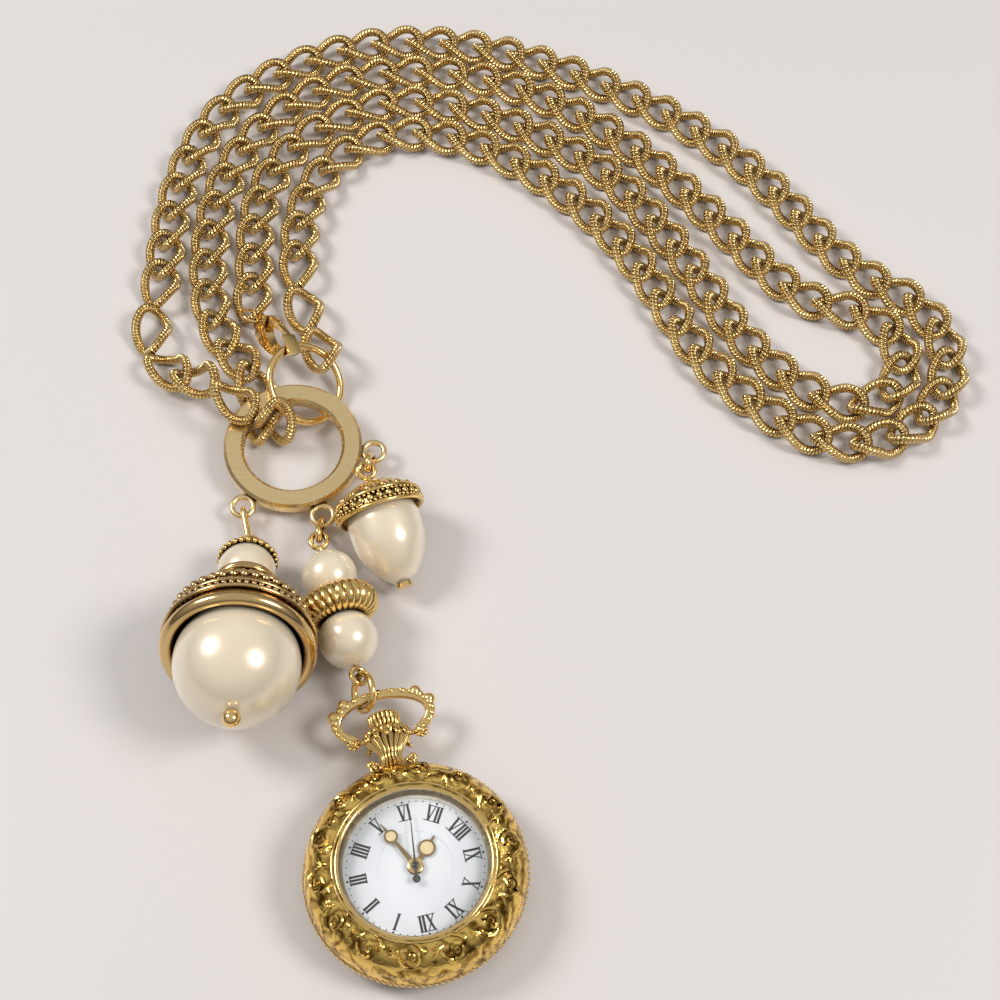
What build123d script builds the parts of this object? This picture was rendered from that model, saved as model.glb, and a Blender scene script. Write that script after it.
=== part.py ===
from build123d import *
from math import acos, atan2, cos, degrees, pi, radians, sin, sqrt
import os

# A pendant watch with three pearl charms on a long chain, laid on a table: the chain is folded
# in two strands, both ends pass through a carrier ring, and the watch lies on its back.
# Millimetres, +Z up. The origin is the centre of the case back's rest face, on the table.
# Twelve o'clock and the crown point roughly towards +Y, turned by watch_turn.

# Case
watch_turn = 13
case_d = 28.3
case_foot_d = 18
case_back_flange_d = 26.4
case_back_height = 1.8
case_back_wall = 1.0
case_back_plug_d = 22
case_back_plug_height = 0.5
case_bore_d = 24
case_top = 5.2
bezel_d = 27.8
bezel_spigot_d = 23.9
bezel_spigot_bore_d = 22
bezel_spigot_height = 0.45
bezel_edge_height = 0.7
bezel_peak_d = 23
bezel_peak_height = 8.7
bezel_bulge = 0.5
bezel_lip_d = 19.2
bezel_lip_height = 8.3
gasket_clearance = 0.05
crystal_d = 19.5
crystal_rim_bottom = 7.1
crystal_rim_top = 7.8
crystal_top = 9.0
crystal_thickness = 1.0
crystal_gasket_d = 20.2
rehaut_bore_d = 18
dial_d = 21.8
dial_bottom = 5.6
dial_thickness = 0.4
dial_hole_d = 1.8
dial_centre_d = 9.4
dial_centre_depth = 0.08

# Movement
fit_clearance = 0.02
slide_clearance = 0.05
movement_d = 21.8
movement_bore_d = 18.6
movement_bottom = 2.7
plate_d = 18.4
plate_bottom = 4.15
plate_thickness = 0.6
bridge_bottom = 2.6
bridge_thickness = 0.3
bridge_rim_r = 0.7
bridge_pillar_r = 0.5
arbor_r = 0.12
train_module = 0.065
drive_module = 0.08
motion_module = 0.12
centre_wheel_teeth = 64
seconds_pinion_teeth = 8
third_wheel_teeth = 60
third_pinion_teeth = 8
cannon_teeth = 10
minute_wheel_teeth = 30
minute_pinion_teeth = 8
hour_wheel_teeth = 32
step_pinion_teeth = 8
seconds_drive_teeth = 48
rotor_pinion_teeth = 8
step_wheel_teeth = 40
third_direction = 115
minute_direction = -60
step_direction = 20
rotor_direction = -30
tooth_addendum_share = 0.9
tooth_dedendum_share = 1.15
tooth_root_share = 0.27
tooth_tip_share = 0.12
wheel_thickness = 0.14
cannon_bore_r = 0.17
cannon_r = 0.44
hour_tube_bore_r = 0.47
hour_tube_r = 0.75
battery_d = 6.8
battery_height = 1.65
battery_x = -4.4
battery_y = -3.3
clamp_thickness = 0.15
clamp_direction = 135
clamp_width = 1.5
screw_shank_r = 0.3
screw_head_r = 0.6
screw_head_height = 0.2
board_thickness = 0.2
quartz_r = 0.6
quartz_length = 3.8
coil_r = 0.8
coil_length = 7.2
coil_x = 6.0
stator_thickness = 0.4
stator_width = 2.0
stator_foot = 0.7
rotor_r = 0.55
rotor_thickness = 0.3
rotor_gap = 0.12

# Hands
hand_thickness = 0.13
hour_hand_bottom = 6.15
minute_hand_bottom = 6.5
seconds_hand_bottom = 6.82
hour_hand_length = 4.6
minute_hand_length = 7.0
seconds_hand_length = 7.2
hour_boss_r = 1.05
minute_boss_r = 0.8
seconds_boss_r = 0.45
hour_arm_width = 0.8
minute_arm_width = 0.7
seconds_arm_width = 0.3
hour_disc_r = 1.1
minute_disc_r = 0.9
seconds_weight_r = 0.5
hour_disc_share = 0.6
minute_disc_share = 0.7
seconds_weight_share = -0.25
hour_angle = 47.25
minute_angle = 117
seconds_angle = 84

# Neck, crown and bow
pendant_height = 4.2
neck_foot = 13.95
neck_waist = 15.9
neck_crest = 18.7
neck_top = 19.3
neck_foot_r = 1.9
neck_waist_r = 1.5
neck_crest_r = 3.2
neck_flutes = 18
neck_flute_share = 0.9
neck_bore_r = 0.55
scroll_r = 0.75
scroll_x = 1.95
scroll_y = 14.95
stem_r = 0.45
stem_start = 4.4
stem_groove_start = 5.2
stem_groove_length = 0.4
stem_groove_r = 0.25
lever_width = 1.6
lever_height = 1.1
crown_start = 19.6
crown_end = 21.8
crown_r = 2.15
crown_round = 0.6
crown_flutes = 20
crown_flute_r = 0.22
bow_pivot_y = 18.5
bow_pivot_x = 4.5
bow_ball_r = 0.85
bow_pin_r = 0.35
bow_pin_reach = 2.6
bow_pin_clearance = 0.03
bow_outer_width = 13.5
bow_rise = 6.3
bow_band = 1.2
bow_band_height = 1.4
bow_middle_rise = 2.6
bow_end_gap = 4.1
bow_tilt = 12
bow_round = 0.3
bow_boss_r = 0.85
bow_boss_directions = (20, 45)

# Chain links
link_length = 9.2
link_width = 6.2
link_wire_d = 1.4
link_play = 0.7
link_end_lean = 55
link_side_slope = 42
link_rest = 1.87

# Carrier ring, clasp ring and clasp
ring_x = -19.1
ring_y = 63.0
ring_z = 3.15
ring_d = 19.7
ring_bore_d = 14.0
ring_thickness = 2.2
ring_bevel = 0.4
ring_tilt = 6
ring_tilt_direction = 115
eyelet_d = 3.8
eyelet_wire_d = 0.85
eyelet_sink = 0.2
bell_eyelet_direction = 235
bar_eyelet_direction = 294
drop_eyelet_direction = 358
clasp_ring_d = 12.5
clasp_ring_wire_d = 1.1
clasp_hook_direction = -121
clasp_heading = -54
clasp_rise = 24
clasp_lean = 60
clasp_length = 13.2
clasp_width = 4.9
clasp_thickness = 1.9
clasp_mouth_start = 4.4
clasp_mouth_end = 10.2
clasp_window_end = 12.2
clasp_window_width = 3.1
clasp_pin_s = 3.4
clasp_pin_t = -1.0
clasp_pin_r = 0.3
clasp_gap = 0.12
clasp_eye_s = 1.1
clasp_eye_r = 0.55
clasp_eye_rim = 0.5
clasp_tail_thickness = 0.8
lever_thickness = 0.9
lever_boss_r = 0.75
nub_r = 0.55
clasp_jump_d = 4.1
clasp_jump_wire_d = 0.5

# Charms
charm_wire_d = 0.9
charm_play = 0.1
pin_d = 0.7
pin_loop_d = 3.0
pin_loop_wire_d = 0.75
pearl_play = 0.02
bell_bead_d = 8.0
bell_bead_cap_d = 7.0
bell_bead_cap_thickness = 0.5
bell_mouth_d = 20.5
bell_rim_d = 1.8
bell_rim_s = 15.7
bell_wall = 0.7
bell_pearl_d = 16.6
bell_pearl_s = 18.3
bell_windows = 16
bell_window_share = 0.42
bell_window_length = 2.4
bell_window_width = 1.1
bell_loop_gap = 0.05
pin_end_d = 2.4
bar_upper_pearl_d = 7.6
bar_lower_pearl_d = 8.0
rondelle_d = 11.0
rondelle_band_d = 4.2
rondelle_web = 2.0
drop_cap_d = 12.3
drop_cap_wall = 0.8
drop_cap_depth = 4.5
drop_dome_direction = 45
drop_loop_to_cap = 2.0
drop_pearl_d = 10.2
drop_pearl_length = 14.0
drop_disc_d = 2.2
drop_disc_thickness = 0.6
watch_jump_d = 5.75
watch_jump_wire_d = 0.95
watch_jump_lean = 60

# Places of the charms on the table, measured from the carrier ring's centre
bell_loop_x = -5.3
bell_loop_y = -15.1
bell_heading = -87.5
bar_loop_x = 4.7
bar_loop_y = -16.5
drop_loop_x = 11.0
drop_loop_y = -6.5
drop_heading = -70.5
drop_tilt = 14
watch_jump_x = -1.7
watch_jump_gap = 0.2
watch_jump_heading = 106

overrun = 1.0

# Directions and planes of the watch
turn = radians(watch_turn)
side_dir = Vector(cos(turn), sin(turn), 0)
pendant_dir = Vector(-sin(turn), cos(turn), 0)
up_dir = Vector(0, 0, 1)
pendant_foot = up_dir * pendant_height
pendant_profile = Plane(origin=pendant_foot, x_dir=pendant_dir, z_dir=side_dir)
pendant_axis = Axis(pendant_foot, pendant_dir)


def face_plane(height):
    """A level plane with its x across the watch and its y towards the crown."""
    return Plane(origin=up_dir * height, x_dir=side_dir, z_dir=up_dir)


def across_pendant(distance):
    """The plane square to the stem at a distance from the case's centre."""
    return Plane(origin=pendant_foot + pendant_dir * distance, x_dir=side_dir, z_dir=pendant_dir)


def pendant_point(across, distance):
    return pendant_foot + side_dir * across + pendant_dir * distance


def polar(distance, direction):
    return (distance * cos(radians(direction)), distance * sin(radians(direction)))


# Case back: a low dome with a flat rest face, and a plug inside the gasket
back_wall_d = case_back_plug_d - 2 * case_back_wall
with BuildPart() as case_back:
    with BuildSketch(Plane.XZ):
        with BuildLine():
            Line((0, 0), (case_foot_d / 2, 0))
            TangentArc((case_foot_d / 2, 0), (case_back_flange_d / 2, case_back_wall), tangent=(1, 0))
            Polyline(
                (case_back_flange_d / 2, case_back_wall),
                (case_back_flange_d / 2, case_back_height),
                (case_back_plug_d / 2, case_back_height),
                (case_back_plug_d / 2, case_back_height + case_back_plug_height),
                (back_wall_d / 2, case_back_height + case_back_plug_height),
                (back_wall_d / 2, case_back_wall),
                (0, case_back_wall),
                (0, 0),
            )
        make_face()
    revolve(axis=Axis.Z)

with BuildPart() as back_gasket:
    with BuildSketch(face_plane(case_back_height)):
        Circle(case_bore_d / 2 - gasket_clearance)
        Circle(case_back_plug_d / 2 + gasket_clearance, mode=Mode.SUBTRACT)
    extrude(amount=case_back_plug_height)

# Case middle: a barrelled ring with the stem hole and a spot face for the neck
case_shoulder_r = bezel_d / 2
with BuildPart() as case_middle:
    with BuildSketch(Plane.XZ):
        with BuildLine():
            Line((case_shoulder_r, case_top), (case_bore_d / 2, case_top))
            Line((case_bore_d / 2, case_top), (case_bore_d / 2, case_back_height))
            Line((case_bore_d / 2, case_back_height), (case_shoulder_r, case_back_height))
            ThreePointArc(
                (case_shoulder_r, case_back_height),
                (case_d / 2, (case_back_height + case_top) / 2),
                (case_shoulder_r, case_top),
            )
        make_face()
    revolve(axis=Axis.Z)
    with BuildSketch(across_pendant(neck_foot)):
        Circle(neck_foot_r)
    extrude(amount=overrun, mode=Mode.SUBTRACT)
    with BuildSketch(across_pendant(case_bore_d / 2 - overrun)):
        Circle(neck_bore_r)
    extrude(amount=(case_d - case_bore_d) / 2 + 2 * overrun, mode=Mode.SUBTRACT)

# Bezel: a domed ring over the case middle, with a spigot in its bore and a lip over the crystal
dial_top = dial_bottom + dial_thickness
bezel_edge_top = case_top + bezel_edge_height
with BuildPart() as bezel:
    with BuildSketch(Plane.XZ):
        with BuildLine():
            Polyline(
                (crystal_gasket_d / 2, crystal_rim_top),
                (crystal_gasket_d / 2, dial_top),
                (bezel_spigot_bore_d / 2, dial_top),
                (bezel_spigot_bore_d / 2, case_top - bezel_spigot_height),
                (bezel_spigot_d / 2, case_top - bezel_spigot_height),
                (bezel_spigot_d / 2, case_top),
                (bezel_d / 2, case_top),
                (bezel_d / 2, bezel_edge_top),
            )
            ThreePointArc(
                (bezel_d / 2, bezel_edge_top),
                ((bezel_d + bezel_peak_d) / 4, (bezel_edge_top + bezel_peak_height) / 2 + bezel_bulge),
                (bezel_peak_d / 2, bezel_peak_height),
            )
            Line((bezel_peak_d / 2, bezel_peak_height), (bezel_lip_d / 2, bezel_lip_height))
            Line((bezel_lip_d / 2, bezel_lip_height), (crystal_gasket_d / 2, crystal_rim_top))
        make_face()
    revolve(axis=Axis.Z)

# Crystal: a domed glass, held from below by the rehaut ring
crystal_wall = crystal_top - crystal_thickness
with BuildPart() as crystal:
    with BuildSketch(Plane.XZ):
        with BuildLine():
            TangentArc((0, crystal_top), (crystal_d / 2, crystal_rim_top), tangent=(1, 0))
            Line((crystal_d / 2, crystal_rim_top), (crystal_d / 2, crystal_rim_bottom))
            Line((crystal_d / 2, crystal_rim_bottom), (rehaut_bore_d / 2, crystal_rim_bottom))
            TangentArc((0, crystal_wall), (rehaut_bore_d / 2, crystal_rim_bottom), tangent=(1, 0))
            Line((0, crystal_wall), (0, crystal_top))
        make_face()
    revolve(axis=Axis.Z)

with BuildPart() as crystal_gasket:
    with BuildSketch(face_plane(crystal_rim_bottom)):
        Circle(crystal_gasket_d / 2)
        Circle(crystal_d / 2 + fit_clearance, mode=Mode.SUBTRACT)
    extrude(amount=(crystal_rim_top - crystal_rim_bottom) - gasket_clearance)

with BuildPart() as rehaut_ring:
    with BuildSketch(face_plane(dial_top)):
        Circle(crystal_gasket_d / 2 - gasket_clearance)
        Circle(rehaut_bore_d / 2, mode=Mode.SUBTRACT)
    extrude(amount=crystal_rim_bottom - dial_top)

with BuildPart() as dial:
    with BuildSketch(face_plane(dial_bottom)):
        Circle(dial_d / 2)
        Circle(dial_hole_d / 2, mode=Mode.SUBTRACT)
    extrude(amount=dial_thickness)
    with BuildSketch(face_plane(dial_top)):
        Circle(dial_centre_d / 2)
    extrude(amount=-dial_centre_depth, mode=Mode.SUBTRACT)

# Places of the arbors, in the face plane
third_distance = train_module * (seconds_pinion_teeth + third_wheel_teeth) / 2
centre_module = 2 * third_distance / (third_pinion_teeth + centre_wheel_teeth)
minute_distance = motion_module * (cannon_teeth + minute_wheel_teeth) / 2
step_distance = drive_module * (step_pinion_teeth + seconds_drive_teeth) / 2
rotor_distance = drive_module * (rotor_pinion_teeth + step_wheel_teeth) / 2
centre_place = (0, 0)
third_place = polar(third_distance, third_direction)
minute_place = polar(minute_distance, minute_direction)
step_place = polar(step_distance, step_direction)
rotor_shift = polar(rotor_distance, rotor_direction)
rotor_place = (step_place[0] + rotor_shift[0], step_place[1] + rotor_shift[1])
stator_post_y = coil_length / 2 + stator_foot / 2
stator_post_places = [(rotor_place[0], -stator_post_y), (rotor_place[0], stator_post_y)]
clamp_reach = battery_d / 2 + screw_shank_r + clamp_width / 4
clamp_shift = polar(clamp_reach, clamp_direction)
clamp_screw_places = [
    (battery_x + clamp_shift[0], battery_y + clamp_shift[1]),
    (battery_x - clamp_shift[0], battery_y - clamp_shift[1]),
]

# Heights in the movement
plate_top = plate_bottom + plate_thickness
bridge_top = bridge_bottom + bridge_thickness
seconds_drive_bottom = bridge_top + gasket_clearance * 2
stator_bottom = seconds_drive_bottom + gasket_clearance * 2
stator_top = stator_bottom + stator_thickness
third_wheel_bottom = stator_top
step_wheel_bottom = plate_bottom - wheel_thickness - 4 * gasket_clearance
centre_wheel_bottom = plate_top + 2 * gasket_clearance
minute_wheel_bottom = centre_wheel_bottom + wheel_thickness + 2 * gasket_clearance
hour_wheel_bottom = minute_wheel_bottom + wheel_thickness + gasket_clearance

with BuildPart() as movement_ring:
    with BuildSketch(face_plane(movement_bottom)):
        Circle(movement_d / 2)
        Circle(movement_bore_d / 2, mode=Mode.SUBTRACT)
    extrude(amount=dial_bottom - movement_bottom)
    with BuildSketch(across_pendant(movement_bore_d / 2 - overrun)):
        Circle(neck_bore_r)
    extrude(amount=(movement_d - movement_bore_d) / 2 + 2 * overrun, mode=Mode.SUBTRACT)

# Main plate, with the slot that guides the setting lever and two posts for the stator
with BuildPart() as main_plate:
    with BuildSketch(face_plane(plate_bottom)):
        Circle(plate_d / 2)
        with Locations(centre_place, third_place, minute_place, step_place, rotor_place):
            Circle(arbor_r + fit_clearance, mode=Mode.SUBTRACT)
        with Locations(*clamp_screw_places):
            Circle(screw_shank_r, mode=Mode.SUBTRACT)
        with Locations((0, stem_start + plate_d / 2 - slide_clearance * 4)):
            Rectangle(lever_width + 2 * slide_clearance, plate_d, mode=Mode.SUBTRACT)
    extrude(amount=plate_thickness)
    with BuildSketch(face_plane(stator_top)):
        with Locations(*stator_post_places):
            Circle(bridge_pillar_r)
    extrude(amount=plate_bottom - stator_top)
    with BuildSketch(face_plane(stator_top)):
        with Locations(*stator_post_places):
            Circle(screw_shank_r)
    extrude(amount=plate_bottom - stator_top, mode=Mode.SUBTRACT)

# Train bridge: a plate under the wheels on three pillars
pillar_shares = [(-0.196, 0.141), (0.103, -0.196), (0.087, 0.228)]
pillar_places = [(plate_d * share[0], plate_d * share[1]) for share in pillar_shares]
arbor_places = [centre_place, third_place, step_place, rotor_place]
with BuildPart() as train_bridge:
    with BuildSketch(face_plane(bridge_bottom)):
        with Locations(*arbor_places, *pillar_places):
            Circle(bridge_rim_r)
        make_hull()
        with Locations(*arbor_places):
            Circle(arbor_r + fit_clearance, mode=Mode.SUBTRACT)
    extrude(amount=bridge_thickness)
    with BuildSketch(face_plane(bridge_top)):
        with Locations(*pillar_places):
            Circle(bridge_pillar_r)
    extrude(amount=plate_bottom - bridge_top)


def gear_points(module, teeth, tooth_at):
    """Corners of a wheel's outline with one tooth's middle at the angle tooth_at."""
    step = 360 / teeth
    root = module * (teeth / 2 - tooth_dedendum_share)
    tip = module * (teeth / 2 + tooth_addendum_share)
    rise = ((root, -tooth_root_share), (tip, -tooth_tip_share))
    fall = ((tip, tooth_tip_share), (root, tooth_root_share))
    points = []
    for tooth in range(teeth):
        for radius, share in rise + fall:
            points.append(polar(radius, tooth_at + (tooth + share) * step))
    return points


def gear(height, place, module, teeth, tooth_at, thickness):
    """Adds a toothed disc to the part that is being built."""
    with BuildSketch(face_plane(height)) as outline:
        with Locations(place):
            Polygon(*gear_points(module, teeth, tooth_at), align=None)
    extrude(outline.sketch, amount=thickness)


def rod(height, top, place, radius, mode=Mode.ADD):
    """Adds or cuts an upright round rod."""
    with BuildSketch(face_plane(height)) as outline:
        with Locations(place):
            Circle(radius)
    extrude(outline.sketch, amount=top - height, mode=mode)


def gap_towards(direction, teeth):
    """The tooth angle that leaves a gap in a direction."""
    return direction + 180 / teeth


# Going train: the rotor drives the step wheel, the seconds wheel, the third and the centre wheel
pinion_height = wheel_thickness + 2 * gasket_clearance
with BuildPart() as seconds_wheel:
    gear(
        seconds_drive_bottom, centre_place, drive_module, seconds_drive_teeth,
        step_direction, wheel_thickness,
    )
    pinion_bottom = third_wheel_bottom - gasket_clearance
    gear(pinion_bottom, centre_place, train_module, seconds_pinion_teeth, third_direction, pinion_height)
    rod(bridge_bottom, seconds_hand_bottom + hand_thickness, centre_place, arbor_r)

with BuildPart() as third_wheel:
    back_direction = third_direction + 180
    tooth_at = gap_towards(back_direction, third_wheel_teeth)
    gear(third_wheel_bottom, third_place, train_module, third_wheel_teeth, tooth_at, wheel_thickness)
    pinion_bottom = centre_wheel_bottom - gasket_clearance
    gear(pinion_bottom, third_place, centre_module, third_pinion_teeth, back_direction, pinion_height)
    rod(bridge_bottom, pinion_bottom + pinion_height, third_place, arbor_r)

with BuildPart() as centre_wheel:
    tooth_at = gap_towards(third_direction, centre_wheel_teeth)
    gear(centre_wheel_bottom, centre_place, centre_module, centre_wheel_teeth, tooth_at, wheel_thickness)
    cannon_bottom = minute_wheel_bottom - gasket_clearance
    gear(cannon_bottom, centre_place, motion_module, cannon_teeth, minute_direction, pinion_height)
    rod(centre_wheel_bottom, minute_hand_bottom + hand_thickness, centre_place, cannon_r)
    rod(centre_wheel_bottom, minute_hand_bottom + hand_thickness, centre_place, cannon_bore_r, Mode.SUBTRACT)

with BuildPart() as minute_wheel:
    back_direction = minute_direction + 180
    tooth_at = gap_towards(back_direction, minute_wheel_teeth)
    gear(minute_wheel_bottom, minute_place, motion_module, minute_wheel_teeth, tooth_at, wheel_thickness)
    pinion_bottom = minute_wheel_bottom + wheel_thickness
    gear(pinion_bottom, minute_place, motion_module, minute_pinion_teeth, back_direction, pinion_height)
    rod(plate_bottom, pinion_bottom + pinion_height, minute_place, arbor_r)

with BuildPart() as hour_wheel:
    tooth_at = gap_towards(minute_direction, hour_wheel_teeth)
    gear(hour_wheel_bottom, centre_place, motion_module, hour_wheel_teeth, tooth_at, wheel_thickness)
    rod(hour_wheel_bottom, hour_hand_bottom + hand_thickness, centre_place, hour_tube_r)
    rod(hour_wheel_bottom, hour_hand_bottom + hand_thickness, centre_place, hour_tube_bore_r, Mode.SUBTRACT)

with BuildPart() as step_wheel:
    back_direction = step_direction + 180
    tooth_at = gap_towards(back_direction, step_pinion_teeth)
    pinion_bottom = seconds_drive_bottom - gasket_clearance
    gear(pinion_bottom, step_place, drive_module, step_pinion_teeth, tooth_at, pinion_height)
    gear(step_wheel_bottom, step_place, drive_module, step_wheel_teeth, rotor_direction, wheel_thickness)
    rod(bridge_bottom, plate_bottom + plate_thickness / 2, step_place, arbor_r)

with BuildPart() as rotor:
    tooth_at = gap_towards(rotor_direction + 180, rotor_pinion_teeth)
    pinion_bottom = step_wheel_bottom - gasket_clearance
    gear(pinion_bottom, rotor_place, drive_module, rotor_pinion_teeth, tooth_at, pinion_height)
    rotor_bottom = stator_bottom + (stator_thickness - rotor_thickness) / 2
    rod(rotor_bottom, rotor_bottom + rotor_thickness, rotor_place, rotor_r)
    rod(bridge_bottom, plate_bottom + plate_thickness / 2, rotor_place, arbor_r)

# Stator: a flat plate round the rotor whose feet meet the ends of the coil
stator_reach = coil_x + coil_r / 2 - rotor_place[0]
with BuildPart() as stator:
    with BuildSketch(face_plane(stator_bottom)):
        with Locations((rotor_place[0], 0)):
            Rectangle(stator_width, coil_length + 2 * stator_foot)
        for side in (-1, 1):
            with Locations((rotor_place[0], side * stator_post_y)):
                Rectangle(stator_reach, stator_foot, align=(Align.MIN, Align.CENTER))
        with Locations(rotor_place):
            Circle(rotor_r + rotor_gap, mode=Mode.SUBTRACT)
        with Locations(*stator_post_places):
            Circle(screw_shank_r, mode=Mode.SUBTRACT)
    extrude(amount=stator_thickness)

coil_middle = up_dir * (stator_bottom + stator_thickness / 2) + side_dir * coil_x
with BuildPart() as coil:
    with BuildSketch(Plane(origin=coil_middle - pendant_dir * (coil_length / 2), z_dir=pendant_dir)):
        Circle(coil_r)
    extrude(amount=coil_length)

# Battery under its clamp, the circuit board on the plate, and the quartz crystal's can on the board
battery_bottom = plate_bottom - gasket_clearance - battery_height
clamp_bottom = battery_bottom - fit_clearance - clamp_thickness
with BuildPart() as battery:
    rod(battery_bottom, battery_bottom + battery_height, (battery_x, battery_y), battery_d / 2)
    chamfer(battery.edges().group_by(Axis.Z)[0], clamp_thickness)

with BuildPart() as battery_clamp:
    with BuildSketch(face_plane(clamp_bottom)):
        with Locations(Location((battery_x, battery_y, 0), (0, 0, clamp_direction))):
            SlotCenterToCenter(2 * clamp_reach, clamp_width)
        with Locations(*clamp_screw_places):
            Circle(screw_shank_r, mode=Mode.SUBTRACT)
    extrude(amount=clamp_thickness)

with BuildPart() as circuit_board:
    with BuildSketch(face_plane(plate_bottom - board_thickness)):
        Circle(plate_d / 2 - slide_clearance)
        board_corner = (-lever_width, pillar_places[0][1] + bridge_rim_r)
        with Locations(board_corner):
            Rectangle(plate_d, plate_d, align=(Align.MAX, Align.MIN), mode=Mode.INTERSECT)
    extrude(amount=board_thickness)

quartz_height = plate_bottom - board_thickness - quartz_r
quartz_across = -plate_d / 4 - quartz_length / 2
quartz_start = up_dir * quartz_height + side_dir * quartz_across + pendant_dir * (plate_d / 4)
with BuildPart() as quartz_can:
    with BuildSketch(Plane(origin=quartz_start, z_dir=side_dir)):
        Circle(quartz_r)
    extrude(amount=quartz_length)

with BuildPart() as movement_screws:
    for place in clamp_screw_places:
        rod(clamp_bottom - screw_head_height, clamp_bottom, place, screw_head_r)
        rod(clamp_bottom, plate_top, place, screw_shank_r)
    for place in stator_post_places:
        rod(stator_bottom - screw_head_height, stator_bottom, place, screw_head_r)
        rod(stator_bottom, plate_bottom, place, screw_shank_r)


# Hands: a boss, a tapered arm, and a luminous disc or a tail weight
def hand(height, length, angle, bore_r, boss_r, arm_width, disc_share, disc_r):
    with BuildPart() as piece:
        with BuildSketch(face_plane(height)):
            with Locations(Location((0, 0, 0), (0, 0, angle))):
                Circle(boss_r)
                Polygon(
                    (length * min(disc_share, 0), -arm_width / 2),
                    (length, -arm_width / 8),
                    (length, arm_width / 8),
                    (length * min(disc_share, 0), arm_width / 2),
                    align=None,
                )
            with Locations(polar(length * disc_share, angle)):
                Circle(disc_r)
            Circle(bore_r, mode=Mode.SUBTRACT)
        extrude(amount=hand_thickness)
    return piece


hour_hand = hand(
    hour_hand_bottom, hour_hand_length, hour_angle,
    hour_tube_r, hour_boss_r, hour_arm_width, hour_disc_share, hour_disc_r,
)
minute_hand = hand(
    minute_hand_bottom, minute_hand_length, minute_angle,
    cannon_r, minute_boss_r, minute_arm_width, minute_disc_share, minute_disc_r,
)
seconds_hand = hand(
    seconds_hand_bottom, seconds_hand_length, seconds_angle,
    arbor_r, seconds_boss_r, seconds_arm_width, seconds_weight_share, seconds_weight_r,
)


# Neck: a fluted stalk with a flared top and two small scrolls at its foot
def flute_points(radius):
    points = []
    for corner in range(2 * neck_flutes):
        reach = radius * (neck_flute_share if corner % 2 else 1)
        points.append(polar(reach, corner * 180 / neck_flutes))
    return points


neck_stations = [
    (neck_foot, neck_foot_r),
    (neck_waist, neck_waist_r),
    ((neck_waist + neck_crest) / 2, (neck_waist_r + neck_crest_r) / 2),
    (neck_crest, neck_crest_r),
    (neck_top, (neck_waist_r + 2 * neck_crest_r) / 3),
]
with BuildPart() as neck:
    for distance, radius in neck_stations:
        with BuildSketch(across_pendant(distance)):
            Polygon(*flute_points(radius), align=None)
    loft(ruled=True)
    for side in (-1, 1):
        with Locations(pendant_point(side * scroll_x, scroll_y)):
            Sphere(scroll_r)
    with BuildSketch(across_pendant(neck_foot - overrun)):
        Circle(neck_bore_r)
    extrude(amount=neck_top - neck_foot + 2 * overrun, mode=Mode.SUBTRACT)
    for side in (-1, 1):
        pivot = pendant_point(side * (bow_pin_reach - bow_pin_clearance), bow_pivot_y)
        with BuildSketch(Plane(origin=pivot, z_dir=side_dir * side)):
            Circle(bow_pin_r + bow_pin_clearance)
        extrude(amount=neck_crest_r, mode=Mode.SUBTRACT)

# Stem, setting lever and crown: the lever sits in the stem's groove and slides out with it
crown_socket = (crown_start + crown_end) / 2
with BuildPart() as stem:
    with BuildSketch(pendant_profile):
        with BuildLine():
            Polyline(
                (stem_start, 0),
                (stem_start, stem_r),
                (stem_groove_start, stem_r),
                (stem_groove_start, stem_groove_r),
                (stem_groove_start + stem_groove_length, stem_groove_r),
                (stem_groove_start + stem_groove_length, stem_r),
                (crown_socket, stem_r),
                (crown_socket, 0),
                (stem_start, 0),
            )
        make_face()
    revolve(axis=pendant_axis)

with BuildPart() as setting_lever:
    with BuildSketch(across_pendant(stem_groove_start + slide_clearance)):
        Rectangle(lever_width, lever_height)
        Circle(stem_groove_r + fit_clearance, mode=Mode.SUBTRACT)
        Rectangle(
            2 * (stem_groove_r + fit_clearance), lever_height,
            align=(Align.CENTER, Align.MIN), mode=Mode.SUBTRACT,
        )
    extrude(amount=stem_groove_length - 2 * slide_clearance)

with BuildPart() as crown:
    with BuildSketch(across_pendant(crown_start)):
        Circle(crown_r)
    extrude(amount=crown_end - crown_start)
    fillet(crown.edges().sort_by(Axis(pendant_foot, pendant_dir))[-1], crown_round)
    with BuildSketch(across_pendant(crown_start - overrun)):
        with PolarLocations(crown_r + crown_flute_r / 2, crown_flutes):
            Circle(crown_flute_r)
    extrude(amount=crown_end - crown_start + 2 * overrun, mode=Mode.SUBTRACT)
    with BuildSketch(across_pendant(crown_start - overrun)):
        Circle(stem_r)
    extrude(amount=crown_socket - crown_start + overrun, mode=Mode.SUBTRACT)

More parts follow.
